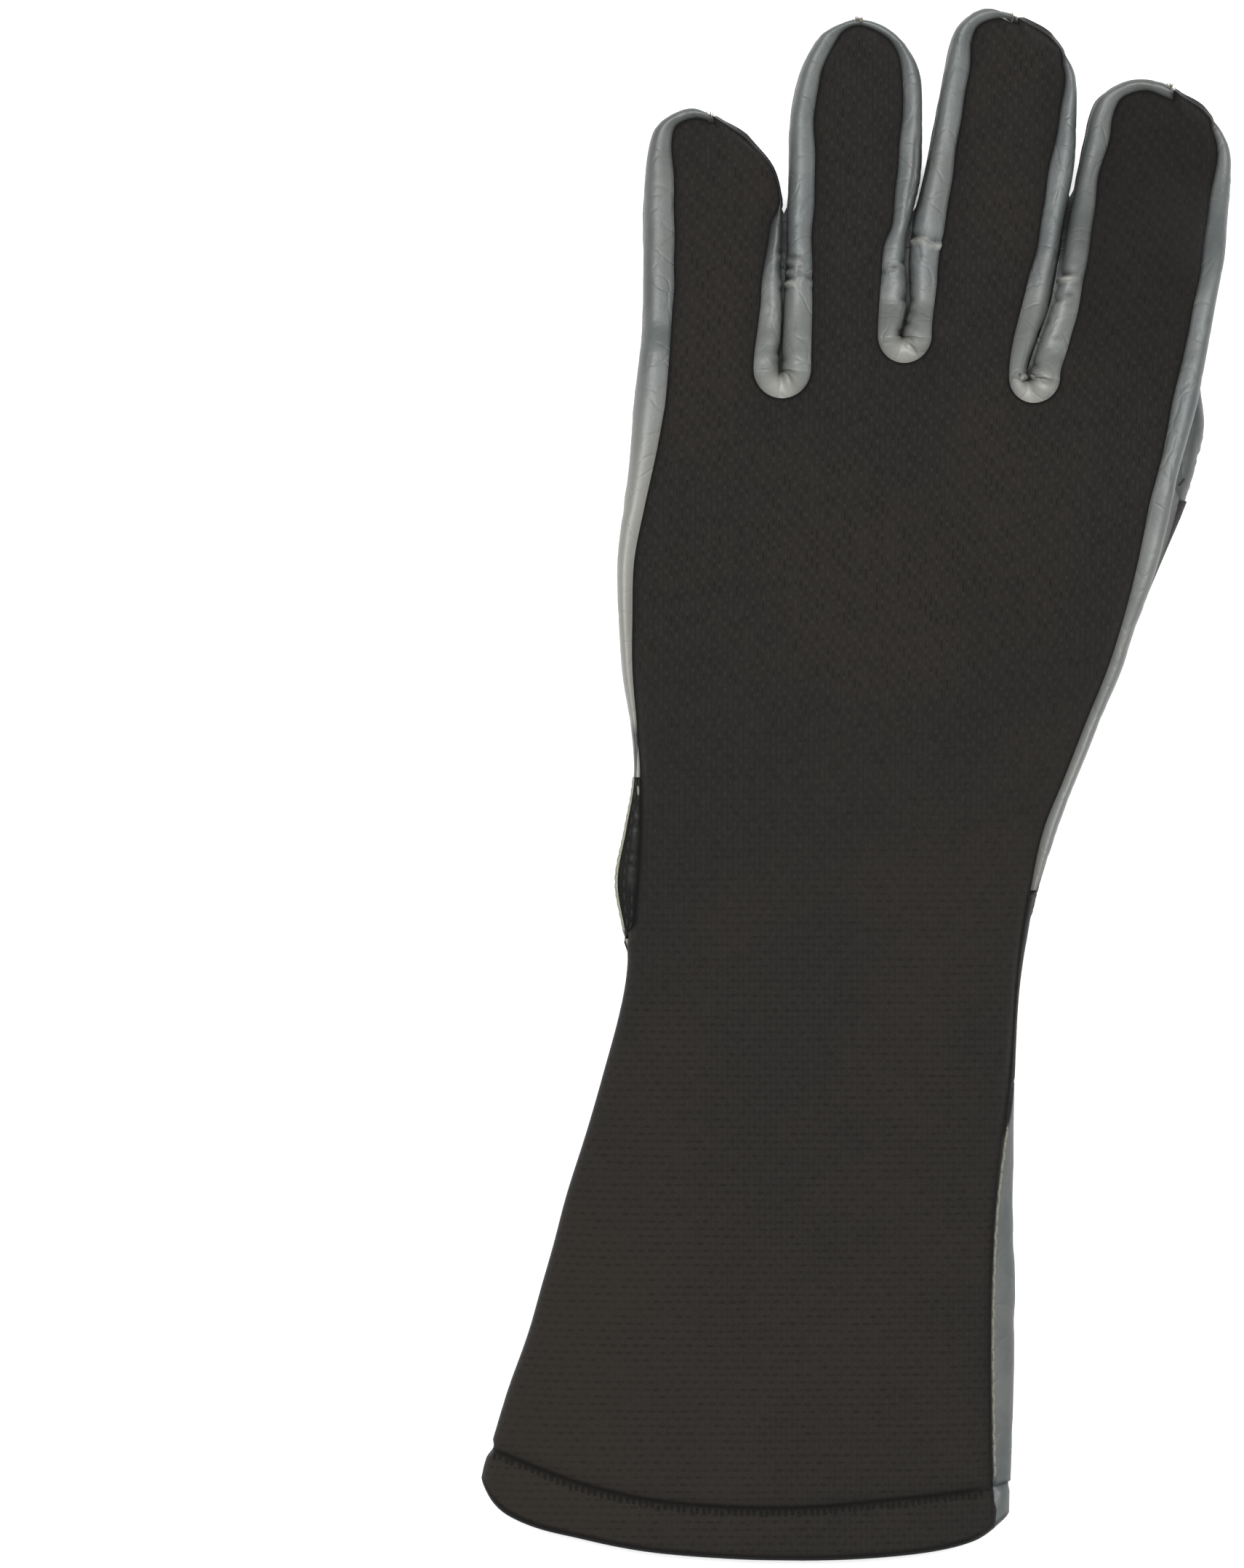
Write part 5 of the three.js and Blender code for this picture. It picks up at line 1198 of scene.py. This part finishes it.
# Palm, with the leather gathered over the elastic at the wrist
def gathers(points):
    """Folds radiating from the wrist."""
    x, y = points[:, 0], points[:, 1]
    above = y > GATHER_Y
    depth = np.zeros(len(points))
    for fold in FOLDS:
        away = (y - GATHER_Y) / np.where(above, fold.up, fold.down)
        middle = fold.x - fold.slope * (y - GATHER_Y) * np.where(above, 0.4, 1.0)
        spread = fold.half * (1 + 0.5 * np.abs(away))
        depth = np.maximum(depth, fold.depth * bell(away, 1) * bell(x - middle, spread))
    return depth


def palm_shape(points, distance, normals):
    inside = smooth(distance / 5)
    wave = 0.25 * soft_noise(points, 18, 5) + 0.12 * soft_noise(points, 7, 8)
    lift = gathers(points) * inside * (1 - smooth((points[:, 2] - 2.5) / 2))
    return lift[:, None] * [0, 0, 1] + normals * (np.minimum(wave, 0) * inside)[:, None]


palm = Surface()
for grid in palm_fingers:
    palm.grid(grid, True)
palm.grid(np.concatenate([palm_root[None], palm_hand]), True)
palm.grid(np.concatenate([palm_crotch[None], palm_cuff]), True)
palm_object = wall_object("palm_leather", palm, LEATHER_WALL, palm_leather, ["palm_panel"],
                          palm_shape)

# Gusset and side panel
gusset_y = np.arange(THUMB_CROTCH_Y + 2.3, GATHER_Y + 1, -ROW_STEP)
gusset_a = section_point(CUFF, gusset_y, palm_right(gusset_y), gusset_y > GUSSET_END_Y)
gusset_b = section_point(CUFF, gusset_y, panel_start(gusset_y), False)
gusset_grid = lerp(gusset_a[:, None], gusset_b[:, None], np.linspace(0, 1, 9)[:, None])
gusset_object = wall_object("gusset_leather", Surface().grid(gusset_grid, True), LEATHER_WALL, palm_leather,
                            ["thumb_gusset"])
panel_y = np.append(np.arange(THUMB_CROTCH_Y, PANEL_END_Y, -ROW_STEP), PANEL_END_Y)
panel_angles = run_angles(panel_y, panel_start, panel_end, np.linspace(0, 1, PANEL_COLUMNS + 1), False)
panel_grid = section_point(CUFF, panel_y[:, None], panel_angles, False)


def panel_shape(points, distance, normals):
    x, y, z = points.T
    pinch = bell(y - GATHER_Y, np.where(y > GATHER_Y, 9, 20))
    folds = np.abs(np.sin(x * 0.42 - y * 0.05 + z * 0.3)) * 1.5 * pinch
    waves = np.minimum(0.25 * soft_noise(points, 20, 12), 0.1)
    return normals * ((waves - folds) * smooth(distance / 4))[:, None]


panel = Surface().grid(panel_grid, True, body_uv(panel_grid, PANEL_COLUMNS))
wall_object("side_knit", panel, KNIT_WALL, knit, ["side_panel"], panel_shape)

# Thumb under the palm
thumb_y = np.linspace(THUMB_ROWS[0][0], THUMB_ROWS[-1][0], THUMB_ROW_COUNT)


def thumb_layer(inset):
    """Left side, right side and tip of the thumb's outline, drawn in by an inset."""
    left, right = (np.stack([THUMB[name](thumb_y) + move, thumb_y], -1)
                   for name, move in (("left", inset), ("right", -inset)))
    return left, right, tip_arc(left, right, THUMB_SECOND, [(THUMB_TIP[0], THUMB_TIP[1] - inset)])


def thumb_sheet(inset, heights):
    left, right, arc = thumb_layer(inset)
    return with_z(tip_plan(left, right, THUMB_SECOND, arc), heights)


def around(grid):
    return np.concatenate([grid[:0:-1, 0], grid[0], grid[1:, -1]])


def thumb_shape(points, distance, normals):
    wave = 0.3 * soft_noise(points, 14, 21) + 0.12 * soft_noise(points, 5, 22)
    return normals * (np.minimum(wave, 0.1) * smooth(distance / 3))[:, None]


# Painted shade over the whole thumb, which lies under the palm
def thumb_shade_marks(points):
    return np.zeros(len(points)), np.full(len(points), 0.4)


thumb_edge = edge_share(np.linspace(0, 6, THUMB_ROW_COUNT))
thumb_top = thumb_sheet(THUMB_KNIT_INSET, THUMB_HEIGHT - THUMB_EDGE_DROP * thumb_edge ** 2)
thumb_rise = np.maximum(0, thumb_edge - THUMB_FLAT_SHARE) / (1 - THUMB_FLAT_SHARE)
thumb_low = thumb_sheet(THUMB_PALM_INSET, THUMB_EDGE_RISE * thumb_rise ** 2)
thumb_left, thumb_right, thumb_arc = thumb_layer(0.0)
rim_flat = np.concatenate([thumb_left[:0:-1], thumb_arc, thumb_right[1:]])
rim_side = with_z(rim_flat, THUMB_HEIGHT * SIDE_HEIGHT_SHARE)
rim_low = around(thumb_low)
thumb_wall = side_wall(around(thumb_top), rim_side, rim_low, THUMB_WALL_STEPS, THUMB_WALL_STEPS)
thumb = Surface().grid(thumb_top).grid(thumb_wall)
thumb_object = wall_object("thumb_leather", thumb, LEATHER_WALL, leather, ["thumb_front"],
                           thumb_shape, thumb_shade_marks)
wall_object("thumb_knit", Surface().grid(thumb_low, True), KNIT_WALL, knit, ["thumb_back"],
            thumb_shape)


# Hems
def hem_grid(start, end, shares, puff):
    rows = np.full(len(HEM_SHARES), LAST_ROW_Y)
    return bent_rows(rows, start, end, shares, HEM_SHARES, puff * HEM_PUFFS)


def hem_shape(points, distance, normals):
    wave = 0.16 * soft_noise(points, 9, 41) + 0.1 * soft_noise(points, 4, 43)
    x, y = points[:, 0], points[:, 1]
    share = (y - HEM["stitch"](x)) / (HEM["edge"](x) - HEM["stitch"](x))
    groove = valley(points, distance, normals) * (1 - smooth((share - 0.3) / 0.2))[:, None]
    return normals * (np.minimum(wave, 0.15) * smooth(distance / 2.5))[:, None] + groove


back_hem = hem_grid(back_left, back_right, BODY_SHARES, 1.0)
palm_hem = hem_grid(ulnar_angle, palm_right, PALM_SHARES, 0.3)
hem = Surface().grid(back_hem, uv=body_uv(back_hem, BODY_COLUMNS // 2))
hem_object = wall_object("knit_hem", hem, HEM_WALL, knit, ["back_hem"], hem_shape,
                         round_rim=HEM_RIM_ROUNDING)
palm_hem_object = wall_object("leather_hem", Surface().grid(palm_hem, True), PALM_HEM_WALL, palm_leather,
                              ["palm_hem"], hem_shape, round_rim=HEM_RIM_ROUNDING)


# Seam allowances, turned out along the palm's border with their raw edges showing
def slit_gap(index, y):
    a, b = frames[index]["right"]["outline"][::-1], frames[index + 1]["left"]["outline"][::-1]
    return np.interp(y, b[:, 1], b[:, 0]) - np.interp(y, a[:, 1], a[:, 0])


def allowance(name, side, bottom, in_slit, gap):
    """Two layers of leather sewn under the strip, running on to shut a narrow slit between fingers."""
    away = (side - bottom)[:, None, :2]
    past = lerp(-0.28, np.minimum(0.53 * gap, 1.1), smooth(in_slit(side[:, 1]) / 2.5))
    share = np.linspace(-0.08, 1, 7)
    reach = share * (1 + past[:, None] / np.linalg.norm(away, axis=-1))
    xy = bottom[:, None, :2] + away * reach[..., None]
    ripple = soft_noise(with_z(xy, 0.0).reshape(-1, 3), 5.5, 61).reshape(xy.shape[:2])
    z = bottom[:, None, 2] - 0.25 - 0.55 * share + 0.18 * ripple * share
    grid = with_z(xy, np.maximum(z, 0.12))
    flip = bool(grid_normals(grid, False)[..., 2].mean() > 0)

    def raw(points):
        # Pale raw edge, dimmed inside the slit as painted shade
        pale = bell(distance_to(grid[:, -1], points), 0.25)
        return pale * (1 - 0.75 * smooth(in_slit(points[:, 1]) / 3)), np.zeros(len(points))

    # The allowance's inner side is painted dark as painted shade in the slit
    wall_object("allowance_" + name, Surface().grid(grid, flip), ALLOWANCE_WALL, palm_leather, [],
                marks=raw, inner_shade=1.0)


for i, seam in enumerate(seams):
    y = seam.side[:, 1]
    keep = y > (RADIAL_ALLOWANCE_END_Y if seam.name == "radial" else LAST_ROW_Y)
    if seam.crotch:
        allowance(seam.name, seam.side, seam.bottom, lambda at: seam.crotch.slit_top - at, slit_gap(i, y))
    else:
        allowance(seam.name, seam.side[keep], seam.bottom[keep], lambda at: 0 * at, 0.0)


# Threads
def tube(centres, radii, side, up, corners):
    """Rings of points round a line of centres."""
    turn = np.linspace(0, 2 * math.pi, corners + 1)[:-1, None]
    way = side[..., None, :] * np.cos(turn) + up[..., None, :] * np.sin(turn)
    return centres[:, None] + np.asarray(radii)[:, None, None] * way


def tubes_object(name, tubes, material):
    faces, first = [], 0
    for rings in tubes:
        ids = first + np.arange(rings.shape[0] * rings.shape[1]).reshape(rings.shape[:2])
        beside = np.roll(ids, -1, axis=1)
        faces += np.stack([ids[:-1], ids[1:], beside[1:], beside[:-1]], -1).reshape(-1, 4).tolist()
        faces += [ids[0].tolist(), ids[-1, ::-1].tolist()]
        first += ids.size
    new_object(name, np.concatenate([rings.reshape(-1, 3) for rings in tubes]), faces, material)


def sewn(name, rows, length, gap, radius, material=dark_thread):
    """Dashes of thread. Each row is a piece to lie on, or None, then a line and the way it faces."""
    tubes, trees = [], {}
    for piece, line, facing in rows:
        line = np.asarray(line, float)
        facing = np.broadcast_to(unit(np.asarray(facing, float)), line.shape)
        if piece and piece.name not in trees:
            trees[piece.name] = BVHTree.FromPolygons([v.co for v in piece.data.vertices],
                                                     [f.vertices for f in piece.data.polygons])
        run = lengths_along(line)
        count = max(1, int(run[-1] // (length + gap)))
        for k in range(count):
            start = (k + 0.5 + rng.uniform(-0.06, 0.06)) * run[-1] / count - length / 2
            at = start + length * np.array([0, 0.14, 0.5, 0.86, 1])
            spine, normals = (np.stack([np.interp(at, run, values[:, j]) for j in range(3)], -1)
                              for values in (line, facing))
            normals = unit(normals)
            if piece:
                hits = [trees[piece.name].ray_cast(Vector((q + RAY_START * out) / 1000), Vector(-out))
                        for q, out in zip(spine, normals)]
                if any(hit[0] is None for hit in hits):
                    continue
                spine = np.array([tuple(hit[0]) for hit in hits]) * 1000
                normals = np.array([tuple(hit[1]) for hit in hits])
                if lengths_along(spine)[-1] > 1.6 * length:
                    continue
            centres = spine + normals * radius * np.array([-0.9, 0.2, 0.45, 0.2, -0.9])[:, None]
            way = unit(np.gradient(centres, axis=0))
            side = unit(np.cross(way, normals))
            radii = radius * np.array([0.5, 0.95, 1, 0.95, 0.5])
            tubes.append(tube(centres, radii, side, np.cross(side, way), 6))
    tubes_object(name, tubes, material)


def inset_line(seam, inset):
    return seam.bottom + inset * unit((seam.bottom - seam.side) * [1, 1, 0])


UP, DOWN = (0, 0, 1), (0, 0, -1)
edge_rows = []
for seam in seams:
    sewn_part = seam.side[:, 1] > (RADIAL_ALLOWANCE_END_Y if seam.name == "radial" else 1)
    edge_rows.append((palm_object, inset_line(seam, STITCH_INSET)[sewn_part], DOWN))
edge_rows += [(palm_object, palm_cuff[rows_between(-58, 57), -1] - [inset, 0, 0], DOWN)
              for inset in (STITCH_INSET, 3.7)]
edge_rows += [(palm_object, palm_cuff[rows_between(-144, 0), 0] + [1.6, 0, 0], DOWN)]
edge_rows += [(gusset_object, lerp(gusset_a, gusset_b, share)[2:38], DOWN) for share in (0.22, 0.78)]
sewn("palm_edge_stitches", edge_rows, length=2.1, gap=0.8, radius=0.27)

thumb_out = (rim_side - rim_low) * [1, 1, 0]
thumb_rows = [(thumb_object, with_z(rim_flat, z), thumb_out) for z in (1.5, 3.0)]
thumb_rows += [(thumb_object, [(67.6, 61.6, 6), (71.2, 65.6, 6)], UP),
               (thumb_object, [(66.8, 58.9, 6), (72.6, 64.3, 6)], UP)]
sewn("thumb_stitches", thumb_rows, length=2.1, gap=0.6, radius=0.27)

flap_rows = [(flap_object, lerp(flap[0], flap[1], share), UP) for share in (0.22, 0.6, 0.93)]
sewn("flap_stitches", flap_rows[:2], length=1.9, gap=0.8, radius=0.24, material=flap_thread)
sewn("flap_raw_edge", [flap_rows[2], (None, flap[1] + [0.2, 0, 0.4], (-1, 0, 0))], length=2.2, gap=-0.3,
     radius=0.34, material=fuzz_fibre)

ragged = back_cuff[rows_between(-149, -63), -1] + [0.42, 0, 0]
ragged[:, 0] += 0.16 * np.sin(ragged[:, 1] * 1.7) * np.sin(ragged[:, 1] * 0.37)
sewn("cuff_raw_edge", [(palm_object, ragged, UP)], length=2.6, gap=-0.4, radius=0.34, material=raw_edge)
sewn("strip_tail", [(flap_object, [(-46.85, 1.9, 9), (-46.6, -0.6, 9), (-46.5, -3.4, 9)], UP)], length=2.4,
     gap=-0.4, radius=0.28, material=raw_edge)

# Ticks of near-black thread along the hem, stitches and painted shadow between its puckers
ticks = []
for x in np.arange(-78.6, 28, 1.35):
    y = float(HEM["stitch"](x)) - 0.35
    end = (x + rng.normal() * 0.2, y - rng.uniform(1.0, 1.9), ABOVE_HEM)
    ticks.append((hem_object, [(x, y, ABOVE_HEM), end], UP))
sewn("hem_stitches", ticks, length=1.0, gap=0.0, radius=0.31, material=hem_thread_shaded)

under_x = np.linspace(-26, 31, 49)
hem_start, hem_end = HEM["under_stitch"](under_x), HEM["under_edge"](under_x)
straight, high, low = (np.stack([under_x, lerp(hem_start, hem_end, share), 0 * under_x], -1)
                       for share in (0.1, 0.25, 0.8))
zigzag = np.where((np.arange(len(under_x)) % 2 == 0)[:, None], high, low)
hem_lines = [straight] + [zigzag[k:k + 2] for k in range(len(zigzag) - 1)]
sewn("palm_hem_stitches", [(palm_hem_object, line, DOWN) for line in hem_lines], length=2.3, gap=0.6,
     radius=0.3)
bars = [[(5.5, y, 0), (11.8, y, 0)] for y in (-22.5, -23, -23.5)]
sewn("bar_stitch", [(palm_object, bar, DOWN) for bar in bars], length=5.9, gap=0.3, radius=0.34)


# Frayed ends of the strips at the fingertips
def tuft(centre, outward, count):
    fibres = []
    across = np.array([-outward[1], outward[0], 0])
    t = np.array([[0], [0.5], [1.0]])
    for _ in range(count):
        start = centre + across * rng.normal() * 0.5 - outward * rng.uniform(0, 0.5)
        start = start + [0, 0, rng.uniform(-1.5, 4.0)]
        way = unit(outward + across * rng.normal() * 0.4 + [0, 0, rng.normal() * 0.4])
        length = rng.uniform(0.6, 1.2)
        bend = rng.normal(size=3) * 0.2
        side = unit(np.cross(way, [0.3, 0.2, 1]))
        radii = rng.uniform(0.07, 0.13) * (1 - 0.6 * t[:, 0])
        fibres.append(tube(start + way * length * t + bend * t * t, radii, side, np.cross(side, way), 3))
    return fibres


fuzz = []
for i, count in enumerate((20, 70, 26, 60)):
    outline = edges[(i, -1)][1]
    outward = unit((outline[0] - outline[30]) * [0.3, 1, 0])
    fuzz += tuft(outline[0] + [0, 0, 1.5] - 0.5 * outward, outward, count)
tubes_object("tip_fuzz", fuzz, fuzz_fibre)

# Stage
floor_mesh = bpy.data.meshes.new("floor")
floor_mesh.from_pydata([(-3, -3, 0), (3, -3, 0), (3, 3, 0), (-3, 3, 0)], [], [(0, 1, 2, 3)])
floor = bpy.data.objects.new("floor", floor_mesh)
bpy.context.collection.objects.link(floor)
paper = Nodes("pale_floor")
paper_colour = paper.mix(paper.noise(paper.place(), 40.0), rgb(0.9, 0.9, 0.9), rgb(0.92, 0.92, 0.92))
floor_mesh.materials.append(paper.finish(Base_Color=paper_colour, Roughness=0.9, Specular_IOR_Level=0.1))
floor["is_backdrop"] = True

world = bpy.data.worlds.new("studio")
bpy.context.scene.world = world
world.use_nodes = True
world.node_tree.nodes["Background"].inputs["Color"].default_value = rgb(0.97, 0.985, 1.0)
world.node_tree.nodes["Background"].inputs["Strength"].default_value = 0.55


def softbox(name, place, aim, size, power):
    light = bpy.data.lights.new(name, "AREA")
    light.shape, light.size, light.energy = "DISK", size, power
    lamp = bpy.data.objects.new(name, light)
    lamp.location = place
    lamp.rotation_euler = (Vector(aim) - Vector(place)).to_track_quat("-Z", "Y").to_euler()
    bpy.context.collection.objects.link(lamp)


softbox("key_light", place=(-0.08, 0.12, 1.35), aim=(-0.03, 0.02, 0), size=0.55, power=32)
softbox("fill_light", place=(0.55, 0.3, 0.9), aim=(-0.03, 0, 0), size=0.5, power=3)

# Camera, straight above, with the photograph's frame at the height of the glove's outline
FRAME_HEIGHT = 0.33418
OUTLINE_HEIGHT = 0.011
LENS, SENSOR = 120.0, 36.0
camera_data = bpy.data.cameras.new("camera")
camera_data.sensor_fit = "VERTICAL"
camera_data.sensor_height = camera_data.sensor_width = SENSOR
camera_data.lens = LENS
camera_data.clip_end = 20
camera = bpy.data.objects.new("camera", camera_data)
camera.location = (-0.05, -0.0007, OUTLINE_HEIGHT + FRAME_HEIGHT * LENS / SENSOR)
bpy.context.collection.objects.link(camera)
bpy.context.scene.camera = camera
bpy.context.scene.view_settings.view_transform = "Standard"
bpy.context.scene.view_settings.look = "None"

# Box round every shown object, without the backdrop
low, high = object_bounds()
